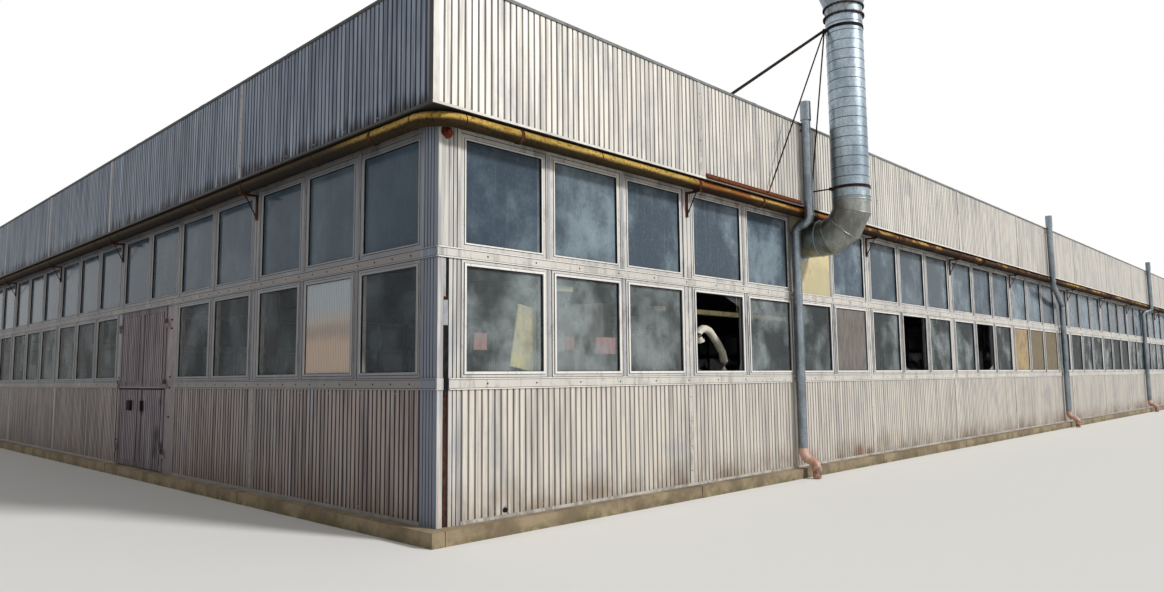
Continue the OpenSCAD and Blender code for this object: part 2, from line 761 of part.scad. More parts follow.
// A downpipe whose lower part stands to one side of its upper part by shift
module downpipe(shift) {
    high = -fascia_out - rain_gap - rain_d / 2;
    low = -rain_low_out;
    run = norm([shift, low - high]);
    heading = atan2(low - high, shift);
    side = rain_bend * (1 - cos(rain_slant));
    rise = rain_bend * sin(rain_slant);
    slope_top = fascia_z - trim_drop - rain_offset_drop;
    slope_low = slope_top - 2 * rise - (run - 2 * side) / tan(rain_slant);
    top = fascia_top + coping_h + rain_top;
    way = [cos(heading), sin(heading), 0];
    lean = sin(rain_slant) * way - [0, 0, cos(rain_slant)];
    start = [0, high, slope_top];
    end = [shift, low, slope_low];
    high_end = start + side * way - [0, 0, rise];
    low_end = end - side * way + [0, 0, rise];
    sleeve_low = fascia_top + coping_h + rain_sleeve_rise;
    translate(start) cylinder(h = top - slope_top, d = rain_d, $fn = pipe_facets);
    translate([0, high, sleeve_low])
        cylinder(h = top - sleeve_low, d = rain_d + 2 * rain_sleeve_rim, $fn = pipe_facets);
    translate(start) rotate([0, 0, heading]) mirror([0, 0, 1]) pipe_bend(rain_bend, rain_d, rain_slant);
    rod(high_end, low_end, rain_d);
    translate(end) rotate([0, 0, heading + 180]) pipe_bend(rain_bend, rain_d, rain_slant);
    translate([shift, low, shoe_top]) cylinder(h = slope_low - shoe_top, d = rain_d, $fn = pipe_facets);
    for (joint = [start, end]) socket_ring(joint, [0, 0, 1]);
    for (joint = [high_end, low_end]) socket_ring(joint, lean);
    pipe_clip([0, high], -fascia_out, fascia_top - rain_clip_drop);
    pipe_clip([shift, low], -band_out, sill_z + (sill_h - clip_h) / 2);
    if (slope_low > upper_z)
        pipe_clip([shift, low], -band_out, transom_z + (transom_h - clip_h) / 2);
}
// Raised ring round a joint of the downpipe
module socket_ring(joint, way) {
    rod(joint - rain_socket_h / 2 * way, joint + rain_socket_h / 2 * way, rain_socket_d);
}
// Clip round a downpipe whose axis is at [u, v], with a tail to the wall
module pipe_clip(axis, wall, z) {
    translate([axis[0], axis[1], z]) cylinder(h = clip_h, d = rain_d + 2 * clip_t, $fn = pipe_facets);
    block([axis[0] - clip_h / 2, axis[1], z], [axis[0] + clip_h / 2, wall, z + clip_h]);
}

// Plastic swan-neck shoes at the foot of the downpipes, each ending upright a little above the ground
module downpipe_shoes() {
    color("#c98f7c") on_front() for (i = [0:len(rain_places) - 1])
        translate([rain_places[i] + rain_shifts[i], -rain_low_out, 0]) shoe();
}
module shoe() {
    side = shoe_bend * (1 - cos(shoe_angle));
    drop = shoe_bend * sin(shoe_angle);
    start = shoe_top - shoe_neck;
    slope_drop = (shoe_out - 2 * side) / tan(shoe_angle);
    half = shoe_socket_h / 2 * [0, sin(shoe_angle), cos(shoe_angle)];
    high_end = [0, -side, start - drop];
    low_end = [0, side - shoe_out, start - drop - slope_drop];
    foot = [0, -shoe_out, start - 2 * drop - slope_drop];
    translate([0, 0, start - shoe_socket_h / 2])
        cylinder(h = shoe_top - start + shoe_socket_h / 2, d = shoe_socket_d, $fn = pipe_facets);
    translate([0, 0, start]) rotate([0, 0, -90]) mirror([0, 0, 1]) pipe_bend(shoe_bend, shoe_d, shoe_angle);
    rod(high_end, low_end, shoe_d);
    for (joint = [high_end, low_end]) rod(joint + half, joint - half, shoe_socket_d);
    translate(foot) rotate([0, 0, 90]) pipe_bend(shoe_bend, shoe_d, shoe_angle);
    translate(foot - [0, 0, shoe_socket_h / 2])
        cylinder(h = shoe_socket_h, d = shoe_socket_d, $fn = pipe_facets);
    translate([0, -shoe_out, shoe_low]) cylinder(h = foot[2] - shoe_low, d = shoe_d, $fn = pipe_facets);
}

// Blank panel in the place of an upper window, with a hole for the duct
module duct_panel() {
    left = duct_window[0] + frame_fit;
    right = duct_window[0] + duct_window[1] - frame_fit;
    color("#cfc3a3") on_front() difference() {
        block([left, sash_out, upper_z], [right, sash_out + panel_t, head_z]);
        translate([duct_u, sash_out - 1, duct_z]) rotate([-90, 0, 0])
            cylinder(h = panel_t + 2, d = duct_d + 2 * seat_gap, $fn = duct_facets);
    }
}

// Round tube along Z from low to high
module tube(d, t, low, high) {
    translate([0, 0, low]) difference() {
        cylinder(h = high - low, d = d, $fn = duct_facets);
        translate([0, 0, -1]) cylinder(h = high - low + 2, d = d - 2 * t, $fn = duct_facets);
    }
}

// One segment of the elbow, cut at its mitres, before it is turned to its angle
module gore(from, to) {
    reach = elbow_r + duct_d;
    intersection() {
        translate([0, -elbow_r, 0]) tube(duct_d, duct_t, -elbow_r, elbow_r);
        rotate([0, -90, 0]) linear_extrude(2 * elbow_r, center = true)
            polygon([[0, 0], [reach * sin(from), -reach * cos(from)], [reach * sin(to), -reach * cos(to)]]);
    }
}

// Segmented elbow of the ventilation duct, with a stub through the wall and a collar on top
module duct_elbow() {
    step = 90 / (gore_n - 1);
    tilt = [for (i = [0:gore_n - 1]) i * step];
    color(galvanised_colour) on_front() translate([duct_u, elbow_r - duct_out, duct_z + elbow_r]) {
        for (angle = tilt) rotate([angle, 0, 0])
            gore(angle == 90 ? 0 : -step / 2, angle == 0 ? 0 : step / 2);
        translate([0, -elbow_r, 0]) tube(duct_d, duct_t, 0, collar_h);
        translate([0, 0, -elbow_r]) rotate([-90, 0, 0])
            tube(duct_d, duct_t, 0, stub_in + duct_out - elbow_r);
    }
}

// Straight duct with the raised seams of its wound strip
module duct_stack() {
    low = duct_z + elbow_r + collar_h;
    r = duct_d / 2;
    seams = floor((stack_top - low) / seam_pitch);
    skin = [for (i = [1:seams]) each [
        [r, low + i * seam_pitch - 2 * seam_h], [r + seam_h, low + i * seam_pitch - seam_h],
        [r, low + i * seam_pitch]
    ]];
    color(galvanised_colour) on_front() translate([duct_u, -duct_out, 0])
        rotate_extrude($fn = duct_facets)
            polygon(concat([[r - duct_t, low], [r, low]], skin, [[r, stack_top], [r - duct_t, stack_top]]));
}

// Pair of bolted rings with a collar between them
module duct_flange() {
    color("#4b4a48") on_front() translate([duct_u, -duct_out, stack_top]) difference() {
        union() {
            cylinder(h = flange_t, d = flange_d, $fn = duct_facets);
            cylinder(h = flange_h, d = duct_d + 2 * duct_t, $fn = duct_facets);
            translate([0, 0, flange_h - flange_t]) cylinder(h = flange_t, d = flange_d, $fn = duct_facets);
        }
        translate([0, 0, -1]) cylinder(h = flange_h + 2, d = duct_d - 2 * duct_t, $fn = duct_facets);
    }
}

// Flared head of the duct
module duct_head() {
    r = duct_d / 2;
    flare = head_cone_h * tan(flare_angle);
    color(galvanised_colour) on_front() translate([duct_u, -duct_out, stack_top + flange_h])
        rotate_extrude($fn = duct_facets) polygon([
            [r - duct_t, 0], [r + duct_t, 0], [r + duct_t + flare, head_cone_h],
            [r + duct_t + flare, head_cone_h + head_rim_h], [r + flare, head_cone_h + head_rim_h],
            [r + flare, head_cone_h]
        ]);
}

// Clamp bands round the duct, and the rods that stay it from the coping and from a rail under the fascia
module duct_stays() {
    high = stack_top - stay_drop;
    low = duct_z + elbow_r + collar_h + stay_low_rise;
    axis = [duct_u, -duct_out, 0];
    band_r = duct_d / 2 + seam_h + seat_gap + band_t;
    lug = axis + (band_r + stay_d / 2) * [-sin(stay_turn), cos(stay_turn), 0];
    rail_v = -fascia_out - trim_out;
    coping_foot = [duct_u - stay_far, -parapet_in / 2, fascia_top + coping_h];
    arm_foot = [duct_u - stay_near, -fascia_out, low];
    color("#4a3a33") on_front() {
        for (z = [high, low]) translate(axis + [0, 0, z]) clamp_band(band_r);
        rod(lug + [0, 0, high], coping_foot + [0, 0, foot_h], stay_d);
        for (u = [duct_u - stay_middle, duct_u - stay_near])
            rod(lug + [0, 0, high], [u, rail_v - rail_w / 2, fascia_z + rail_t], stay_thin_d);
        rod(lug + [0, 0, low], arm_foot - [0, band_t, 0], stay_thin_d);
        block(coping_foot - [foot_w / 2, foot_w / 2, 0], coping_foot + [foot_w / 2, foot_w / 2, foot_h]);
        block(arm_foot - [foot_w / 2, band_t, foot_w / 2], arm_foot + [foot_w / 2, 0, foot_w / 2]);
        translate([duct_u - rail_reach, rail_v, fascia_z]) angle_rail(rail_length);
        translate([duct_u - stay_near - foot_w / 2, rail_v, fascia_z]) angle_rail(foot_w);
    }
}
// Band round the duct with a lug for the rods
module clamp_band(band_r) {
    translate([0, 0, -band_h / 2]) difference() {
        cylinder(h = band_h, r = band_r, $fn = duct_facets);
        translate([0, 0, -1]) cylinder(h = band_h + 2, r = band_r - band_t, $fn = duct_facets);
    }
    rotate([0, 0, 90 + stay_turn])
        block([band_r - band_t / 2, -lug_w / 2, -band_h / 2], [band_r + stay_d, lug_w / 2, band_h / 2]);
}
// Steel angle along the wall, with its back at v = 0
module angle_rail(length) {
    rotate([90, 0, 90]) linear_extrude(length) polygon([
        [0, 0], [0, rail_w], [-rail_t, rail_w], [-rail_t, rail_t], [-rail_w, rail_t], [-rail_w, 0]
    ]);
}

// Jambs of the double door
module door_frame() {
    color(trim_colour) on_left() {
        beside = window_cells(end_bays)[door_cells[0] - 1];
        block([door_start - door_post_w, 0, plinth_h], [door_start, post_d, lower_z]);
        block([beside[0] + beside[1], 0, lower_z], [door_start, post_d, transom_z]);
        block([door_end, 0, plinth_h], [door_end + post_w / 2, post_d, lower_z]);
        for (z = hinge_levels) {
            frame_knuckle(door_start, -1, z);
            frame_knuckle(door_end, 1, z);
        }
    }
}
// Lower knuckle and pin of a hinge at u, with its strap towards side
module frame_knuckle(u, side, z) {
    axis_u = u - side * leaf_gap / 2;
    translate([axis_u, hinge_v, z]) cylinder(h = knuckle_h, d = knuckle_d, $fn = pin_facets);
    translate([axis_u, hinge_v, z + knuckle_h]) cylinder(h = knuckle_h, d = pin_d, $fn = pin_facets);
    u_out = u + side * strap_reach;
    inner = hinge_v + strap_set;
    block([min(axis_u, u_out), inner, z], [max(axis_u, u_out), -leaf_out - hinge_stand, z + knuckle_h]);
    block([min(u, u_out), inner, z], [max(u, u_out), 0, z + knuckle_h]);
}
// Upper knuckle of a hinge, which turns with the leaf
module leaf_knuckle(u, side, z) {
    axis_u = u - side * leaf_gap / 2;
    u_in = axis_u - side * strap_reach;
    low = z + knuckle_h + 1;
    difference() {
        union() {
            translate([axis_u, hinge_v, low]) cylinder(h = knuckle_h, d = knuckle_d, $fn = pin_facets);
            block([min(axis_u, u_in), hinge_v + strap_set, low],
                  [max(axis_u, u_in), -leaf_out, low + knuckle_h]);
        }
        translate([axis_u, hinge_v, low - 1])
            cylinder(h = knuckle_h + 2, d = pin_d + 2 * pin_gap, $fn = pin_facets);
    }
}

// A door leaf of width w: a frame with a ribbed panel above and below its middle rail
module leaf(w, h) {
    rail_z = sill_z - plinth_h - leaf_floor_gap;
    difference() {
        cube([w, leaf_t, h]);
        translate([leaf_frame, -1, leaf_frame])
            cube([w - 2 * leaf_frame, panel_set + sheet_t + 1, rail_z - leaf_frame]);
        translate([leaf_frame, -1, rail_z + sill_h])
            cube([w - 2 * leaf_frame, panel_set + sheet_t + 1, h - rail_z - sill_h - leaf_frame]);
    }
    for (z = [[leaf_frame, rail_z], [rail_z + sill_h, h - leaf_frame]])
        translate([leaf_frame, panel_set, z[0]]) ribbed_sheet(w - 2 * leaf_frame, z[1] - z[0]);
}
module right_door_leaf() {
    color(alu_colour) on_left() {
        translate([door_start + leaf_gap, -leaf_out, leaf_low]) leaf(leaf_w, leaf_h);
        for (z = hinge_levels) leaf_knuckle(door_start, -1, z);
    }
}
module left_door_leaf() {
    color(alu_colour) on_left() {
        translate([door_end - leaf_gap - leaf_w, -leaf_out, leaf_low]) leaf(leaf_w, leaf_h);
        for (z = hinge_levels) leaf_knuckle(door_end, 1, z);
    }
}

// Box lock on the left leaf
module lock_case() {
    u = door_middle + lock_in;
    face = panel_set - leaf_out;
    color("#3c3a38") on_left()
        block([u, face - lock_t, handle_z], [u + lock_w, face, handle_z + lock_w]);
}

// Pull handle on the right leaf
module door_pull() {
    u = door_middle - pull_in;
    face = panel_set - leaf_out;
    color("#3c3a38") on_left()
        block([u - pull_w, face - lock_t, handle_z], [u, face, handle_z + lock_w]);
}

floor_slab();
plinth();
dado_walls();
parapet_walls();
steel_columns();
roof_beams();
roof_deck();
front_dado_sheets();
left_dado_sheets();
back_dado_sheets();
right_dado_sheets();
front_fascia_sheets();
left_fascia_sheets();
back_fascia_sheets();
right_fascia_sheets();
cover_strips();
drip_trims();
window_bands();
window_posts();
front_window_frames();
left_window_frames();
back_window_frames();
right_window_frames();
front_glass();
left_glass();
back_glass();
right_glass();
corner_casings();
soffits();
fascia_trims();
copings();
gas_pipe();
pipe_brackets();
downpipes();
downpipe_shoes();
duct_panel();
duct_elbow();
duct_stack();
duct_flange();
duct_head();
duct_stays();
door_frame();
left_door_leaf();
right_door_leaf();
lock_case();
door_pull();
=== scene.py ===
# Factory hall with ribbed aluminium walls: its finishes, its small parts, the camera and the light
import math
import random

import bmesh
import bpy
from mathutils import Matrix, Vector


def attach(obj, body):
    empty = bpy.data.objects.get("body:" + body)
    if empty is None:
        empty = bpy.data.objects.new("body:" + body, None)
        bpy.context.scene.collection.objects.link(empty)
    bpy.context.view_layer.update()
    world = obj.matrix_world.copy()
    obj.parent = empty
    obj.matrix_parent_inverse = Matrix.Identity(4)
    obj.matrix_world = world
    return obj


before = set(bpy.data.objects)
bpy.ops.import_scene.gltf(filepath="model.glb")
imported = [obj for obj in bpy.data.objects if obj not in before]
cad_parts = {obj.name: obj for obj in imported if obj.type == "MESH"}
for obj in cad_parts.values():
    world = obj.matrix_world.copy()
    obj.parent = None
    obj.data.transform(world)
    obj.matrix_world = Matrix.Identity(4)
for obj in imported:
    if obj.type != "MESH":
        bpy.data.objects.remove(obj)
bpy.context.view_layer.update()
print("frame loaded,", len(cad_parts), "nodes")

# Grid of the walls in metres, the same one as the hall is built on
hall = {
    "module": 1.2,
    "longUnits": 3,
    "endUnits": 2,
    "unitBays": [3, 4, 3],
    "casing": 0.248,
    "post": 0.16,
    "mullion": 0.062,
    "frameBar": 0.058,
    "sashOut": 0.006,
    "bandOut": 0.010,
    "fasciaOut": 0.224,
    "door": (6.38, 8.32),
    "doorPost": 0.38,
    "ductAt": 6.37,
    "ductOut": 0.755,
}
level = {
    "floor": 0.130,
    "dado": 1.290,
    "lower": 1.390,
    "transom": 2.445,
    "upper": 2.540,
    "head": 3.600,
    "fascia": 3.725,
    "top": 4.875,
    "coping": 4.907,
}
rows = {"lower": (level["lower"], level["transom"]), "upper": (level["upper"], level["head"])}
bandLevels = {"lower": (level["dado"], level["lower"]), "upper": (level["transom"], level["upper"])}
longBays = hall["unitBays"] * hall["longUnits"]
endBays = hall["unitBays"] * hall["endUnits"]
longWidth, endWidth = (hall["module"] * sum(bays) for bays in (longBays, endBays))
walls = {
    "front": {"bays": longBays, "width": longWidth, "facing": (0, -1, 0)},
    "left": {"bays": endBays, "width": endWidth, "facing": (-1, 0, 0)},
    "back": {"bays": longBays, "width": longWidth, "facing": (0, 1, 0)},
    "right": {"bays": endBays, "width": endWidth, "facing": (1, 0, 0)},
}
doorCells = (5, 6)
ductCell = 5
up = Vector((0, 0, 1))


# A point given along a wall (u), inwards from its face (v) and up (z)
def wallPoint(wall, u, v, z):
    alongLong = (u - longWidth / 2, v - endWidth / 2)
    alongEnd = (v - longWidth / 2, u - endWidth / 2)
    x, y = alongLong if wall in ("front", "back") else alongEnd
    if wall == "back":
        y = -y
    if wall == "right":
        x = -x
    return Vector((x, y, z))


def bayStarts(bays):
    return [sum(bays[:i]) * hall["module"] for i in range(len(bays) + 1)]


# Start, width and number of every window place of a wall
def windowCells(bays):
    starts, cells = bayStarts(bays), []
    for i, count in enumerate(bays):
        left = hall["casing"] if i == 0 else starts[i] + hall["post"] / 2
        right = starts[-1] - hall["casing"] if i == len(bays) - 1 else starts[i + 1] - hall["post"] / 2
        pitch = (right - left + hall["mullion"]) / count
        for j in range(count):
            cells.append((left + j * pitch, pitch - hall["mullion"], sum(bays[:i]) + j))
    return cells


# A box along a wall, from its low to its high (u, v, z)
def addBox(shape, wall, low, high):
    corners = [shape.verts.new(wallPoint(wall, u, v, z))
               for u in (low[0], high[0]) for v in (low[1], high[1]) for z in (low[2], high[2])]
    for a, b, c, d in ((0, 1, 3, 2), (4, 6, 7, 5), (0, 4, 5, 1), (2, 3, 7, 6), (0, 2, 6, 4), (1, 5, 7, 3)):
        shape.faces.new((corners[a], corners[b], corners[c], corners[d]))


# A flat plate along a wall: its outline in (u, z), between two depths
def addPlate(shape, wall, outline, near, far):
    faces = [[shape.verts.new(wallPoint(wall, u, v, z)) for u, z in outline] for v in (near, far)]
    for a in range(len(outline)):
        b = (a + 1) % len(outline)
        shape.faces.new((faces[0][a], faces[0][b], faces[1][b], faces[1][a]))
    shape.faces.new(faces[0])
    shape.faces.new(faces[1][::-1])


# Angles of a full turn in equal steps
def turnsOf(count, shift=0.0):
    return [2 * math.pi * (k + shift) / count for k in range(count)]


# Points round a circle that is square to a direction
def addCircle(shape, centre, way, radius, sides, lift=0.0):
    turn = Vector(way).to_track_quat("Z", "Y").to_matrix()
    return [shape.verts.new(Vector(centre) + turn @ Vector((radius * math.cos(t), radius * math.sin(t), lift)))
            for t in turnsOf(sides)]


def joinCircles(shape, low, high):
    for k in range(len(low)):
        n = (k + 1) % len(low)
        shape.faces.new((low[k], low[n], high[n], high[k]))


# A round bar through points, closed at its ends or run back into its start
def addBar(shape, points, radius, sides=8, loop=False):
    circles, last = [], len(points) - 1
    for i, point in enumerate(points):
        after = points[(i + 1) % len(points)] if loop else points[min(i + 1, last)]
        before = points[i - 1] if loop else points[max(i - 1, 0)]
        circles.append(addCircle(shape, point, after - before, radius, sides))
    for low, high in zip(circles, circles[1:] + (circles[:1] if loop else [])):
        joinCircles(shape, low, high)
    if not loop:
        shape.faces.new(circles[0][::-1])
        shape.faces.new(circles[-1])


# A ring of rectangular section round an axis through its centre
def addRing(shape, centre, axis, inner, outer, thickness, sides=48):
    circles = [addCircle(shape, centre, axis, radius, sides, lift)
               for radius, lift in ((inner, 0), (outer, 0), (outer, thickness), (inner, thickness))]
    for low, high in zip(circles, circles[1:] + circles[:1]):
        joinCircles(shape, low, high)


# Puts a finish on a mesh and lets it ride on a body; the slot it looks up is not used
def dressPiece(name, mesh, finish, slotName=None, body="building", smooth=False):
    slotName = slotName or finishSlot[finish]
    piece = bpy.data.objects.new(name, mesh)
    bpy.context.scene.collection.objects.link(piece)
    mesh.materials.clear()
    mesh.materials.append(finishes[finish])
    if smooth:
        mesh.shade_smooth()
        mesh.set_sharp_from_angle(angle=math.radians(35))
    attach(piece, body)
    return piece


def finishShape(name, shape, finish, slotName=None, body="building", smooth=False):
    bmesh.ops.recalc_face_normals(shape, faces=shape.faces)
    mesh = bpy.data.meshes.new(name)
    shape.to_mesh(mesh)
    shape.free()
    return dressPiece(name, mesh, finish, slotName, body, smooth)


def toLinear(code):
    parts = [int(code[i:i + 2], 16) / 255 for i in (1, 3, 5)]
    return tuple(p / 12.92 if p <= 0.04045 else ((p + 0.055) / 1.055) ** 2.4 for p in parts) + (1.0,)


def addNode(tree, kind, inputs=None, **settings):
    node = tree.nodes.new(kind)
    for key, value in settings.items():
        setattr(node, key, value)
    for key, value in (inputs or {}).items():
        if isinstance(value, bpy.types.Node):
            value = next(o for o in value.outputs if o.enabled)
        if isinstance(value, bpy.types.NodeSocket):
            tree.links.new(value, node.inputs[key])
        elif isinstance(value, str) and value.startswith("#"):
            node.inputs[key].default_value = toLinear(value)
        else:
            node.inputs[key].default_value = value
    return node


# A material, its tree and the object's own coordinates
def startFinish(name):
    material = bpy.data.materials.new(name)
    material.use_nodes = True
    tree = material.node_tree
    tree.nodes.clear()
    place = addNode(tree, "ShaderNodeTexCoord")
    return material, tree, place.outputs["Object"]


# Which way a face looks, in the object's own axes
def facingOf(tree):
    return addNode(tree, "ShaderNodeSeparateXYZ", {"Vector": tree.nodes["Texture Coordinate"].outputs["Normal"]})


# Shader and output of a material; bump is a pattern, its depth in mm and its strength
def closeFinish(material, tree, values, bump=None):
    if bump:
        values["Normal"] = addNode(tree, "ShaderNodeBump", {
            "Height": bump[0], "Distance": bump[1] / 1000, "Strength": bump[2]})
    shader = addNode(tree, "ShaderNodeBsdfPrincipled", values)
    addNode(tree, "ShaderNodeOutputMaterial", {"Surface": shader})
    return material


# Cloudy pattern whose patches are about sizeMm wide, longer along an axis by stretch
def clouds(tree, place, sizeMm, stretch=(1, 1, 1), detail=4.0, rough=0.6, shift=0.0):
    scaled = addNode(tree, "ShaderNodeMapping", {
        "Vector": place, "Location": (shift, shift * 0.7, shift * 1.3),
        "Scale": tuple(1000 / sizeMm / s for s in stretch)})
    return addNode(tree, "ShaderNodeTexNoise", {"Vector": scaled, "Scale": 1.0, "Detail": detail,
                                                "Roughness": rough}).outputs[0]


# Where a coat lies: a product of factors, and of patterns with the values at which they fade from 0 to 1
def mask(tree, *parts):
    result = None
    for part in parts:
        if isinstance(part, tuple):
            part = addNode(tree, "ShaderNodeMapRange", dict(zip(("Value", "From Min", "From Max"), part)),
                           interpolation_type="SMOOTHSTEP").outputs[0]
        result = part if result is None else addNode(
            tree, "ShaderNodeMath", {0: result, 1: part}, operation="MULTIPLY").outputs[0]
    return result


# Coats laid over a colour one after another: each is its colour and then the parts of its mask
def paint(tree, colour, *coats):
    for over, *parts in coats:
        colour = addNode(tree, "ShaderNodeMix", {0: mask(tree, *parts), 6: colour, 7: over},
                         data_type="RGBA").outputs[2]
    return colour


# Finishes
ribs = {"streakMm": 55, "patchMm": 420, "grainMm": 14, "runMm": 90, "grooveFrom": 0.985, "grooveTo": 0.9,
        "splashHigh": 0.36, "gleamMm": 48}
# Facing values that mark the front, and the colour laid on the other sides as painted shade
sideShade = {"frontFrom": -0.985, "frontTo": -0.9, "shade": "#525864"}


# Every side but the front, where a darker coat is laid on as painted shade
def shadySides(tree):
    return mask(tree, (facingOf(tree).outputs[1], sideShade["frontFrom"], sideShade["frontTo"]))


# Rolled aluminium sheet, never painted: dull oxide film, rain streaks down each rib, painted shade on the slanted
# flanks of the grooves; film adds painted shade on every side but the front, gleam adds painted highlight lines
def rolledAluminium(name, pale, dull, soot, low, high, splash=0.0, mouldBelow=0.0, grooveShade=0.55,
                    tint="#8b919b", shine=0.5, film=None, stains=(), gleam=0.0):
    material, tree, place = startFinish(name)
    sideways = [addNode(tree, "ShaderNodeMath", {0: part}, operation="ABSOLUTE")
                for part in facingOf(tree).outputs[:2]]
    square = addNode(tree, "ShaderNodeMath", dict(enumerate(sideways)), operation="MAXIMUM")
    z = addNode(tree, "ShaderNodeSeparateXYZ", {"Vector": place}).outputs[2]
    streaks = clouds(tree, place, ribs["streakMm"], (1, 1, 26), 3)
    patches = clouds(tree, place, ribs["patchMm"], (1, 1, 1.7), 5, 0.62, 3.1)
    fine = clouds(tree, place, ribs["grainMm"], (1, 1, 12), 3, 0.6, 1.7)
    runs = clouds(tree, place, ribs["runMm"], (1, 1, 14), 2, 0.5, 7.7)
    colour = paint(tree, pale, (dull, (streaks, 0.4, 0.66)), (tint, (patches, 0.5, 0.7), 0.4),
                   ("#6a6359", (fine, 0.58, 0.8), 0.32), (soot, (runs, 0.54, 0.74), (z, low, high), 0.4))
    if splash:
        colour = paint(tree, colour, ("#7a6347", (z, low + ribs["splashHigh"], low - 0.05), (patches, 0.3, 0.62),
                                      splash))
    if mouldBelow:
        edge = addNode(tree, "ShaderNodeMath", {0: streaks, 1: -0.5, 2: z}, operation="MULTIPLY_ADD")
        colour = paint(tree, colour, ("#1d1c1b", (edge, mouldBelow - 0.06, mouldBelow - 0.24),
                                      (patches, 0.28, 0.5), 0.9))
    # A darker, bluer film on every side but the front: painted shade and painted sky reflection
    if film:
        colour = paint(tree, colour, (film, shadySides(tree), 0.85))
    # Thin pale blue lines along the ribs: painted highlight
    if gleam:
        lines = clouds(tree, place, ribs["gleamMm"], (1, 1, 45), 2, 0.5, 6.3)
        colour = paint(tree, colour, ("#b4c0cf", (lines, 0.6, 0.68), gleam))
    for middle, radius, shade in stains:
        gap = addNode(tree, "ShaderNodeVectorMath", {0: place, 1: middle}, operation="DISTANCE").outputs["Value"]
        edge = addNode(tree, "ShaderNodeMath", {0: fine, 1: radius, 2: gap}, operation="MULTIPLY_ADD")
        colour = paint(tree, colour, (shade, (edge, radius * 1.5, radius * 0.6), 0.85))
    # The slanted flanks of the grooves are darkened: painted shade
    dirt = "#26242a" if grooveShade > 0.6 else "#47454a"
    colour = paint(tree, colour, (dirt, (square.outputs[0], ribs["grooveFrom"], ribs["grooveTo"]), grooveShade))
    gloss = addNode(tree, "ShaderNodeMapRange", {"Value": patches, "To Min": 0.4, "To Max": 0.62})
    metal = addNode(tree, "ShaderNodeMapRange", {"Value": streaks, "To Min": shine, "To Max": shine * 0.3})
    uneven = addNode(tree, "ShaderNodeMath", {0: fine, 1: patches}, operation="ADD")
    return closeFinish(material, tree, {
        "Base Color": colour, "Metallic": metal, "Roughness": gloss,
        "Specular IOR Level": 0.5 if shine > 0.3 else 0.12}, (uneven, 1.2, 0.35))


# Extruded aluminium sections with the rest of a white coat: chalky film, bare grey scuffs, dirt along edges, and
# painted shade on every side but the front
def chalkedSection(name, coatColour, bareColour, wornFrom=0.5, shade=0.75, film=None):
    material, tree, place = startFinish(name)
    scuffs = clouds(tree, place, 120, (1, 1, 2.4), 6, 0.7, 2.3)
    grain = clouds(tree, place, 9, (1, 1, 2), 4, 0.7, 5.1)
    runs = clouds(tree, place, 30, (1, 1, 9), 3, 0.6, 7.4)
    large = clouds(tree, place, 900, (1, 1, 1), 3, 0.5, 9.0)
    edge = addNode(tree, "ShaderNodeMath", {0: grain, 1: 0.3, 2: scuffs}, operation="MULTIPLY_ADD")
    worn = mask(tree, (edge, wornFrom + 0.14, wornFrom + 0.26))
    # The last coat, the film colour or the side colour, is painted shade on every side but the front
    colour = paint(tree, coatColour, (bareColour, (large, 0.4, 0.66), 0.3), (bareColour, worn, 0.6),
                   ("#77736c", (runs, 0.55, 0.75), 0.35), ("#5a5247", (grain, 0.6, 0.75), 0.35),
                   (film or sideShade["shade"], shadySides(tree), shade))
    gloss = addNode(tree, "ShaderNodeMapRange", {"Value": worn, "To Min": 0.6, "To Max": 0.4})
    metal = addNode(tree, "ShaderNodeMapRange", {"Value": worn, "To Min": 0.08, "To Max": 0.5})
    return closeFinish(material, tree, {"Base Color": colour, "Metallic": metal, "Roughness": gloss},
                       (worn, 0.5, 0.3))


# Finishes of plain coats: each is a colour and then the parts of its mask, whose patterns are values for clouds,
# the height or the sides with painted shade; a bump is such a pattern, its depth in mm and its strength
def coatedFinish(name, base, coats, values, bump=None):
    material, tree, place = startFinish(name)
    patterns = {}

    def patternOf(key):
        if key not in patterns:
            if key == "height":
                patterns[key] = addNode(tree, "ShaderNodeSeparateXYZ", {"Vector": place}).outputs[2]
            else:
                patterns[key] = shadySides(tree) if key == "shadySides" else clouds(tree, place, *key)
        return patterns[key]

    colour = base
    for over, *parts in coats:
        for i, part in enumerate(parts):
            if isinstance(part, tuple):
                parts[i] = (patternOf(part[0]), *part[1:])
            elif isinstance(part, str):
                parts[i] = patternOf(part)
        colour = paint(tree, colour, (over, *parts))
    if bump:
        bump = (patternOf(bump[0]), *bump[1:])
    return closeFinish(material, tree, {"Base Color": colour, **values}, bump)


# Steel rusted through its primer: flaky dark scale, orange bloom, no shine
def rustedSteel(name, dark, bloom, primer="#4a2a20", left=0.3, orangeBelow=0.0):
    flakes = (38, (1, 1, 1.6), 7, 0.7)
    coats = [(bloom, ((120, (1, 1, 2.0), 5, 0.65, 4.4), 0.42, 0.62)), ("#2a1611", (flakes, 0.5, 0.66)),
             (primer, ((300, (1, 1, 1.5), 3, 0.5, 8.2), 0.62 - left * 0.3, 0.7), 0.8)]
    if orangeBelow:
        coats.append(("#7a4527", ("height", orangeBelow, orangeBelow - 0.08), (flakes, 0.7, 0.4)))
    return coatedFinish(name, dark, coats, {"Roughness": 0.92, "Specular IOR Level": 0.15}, (flakes, 3, 0.7))


# Brushed yellow gas paint on steel: ochre where the rain washes it, rust from the seams, near-black painted shade
# on its underside and along the end wall
gasCoat = {"patchMm": 300, "speckMm": 30, "rustySpan": (3.3, 4.0), "scaledSpan": (6.3, 6.9),
           "shadeSpan": (0.5, 1.7), "shadedBelow": (3.69, 3.65)}


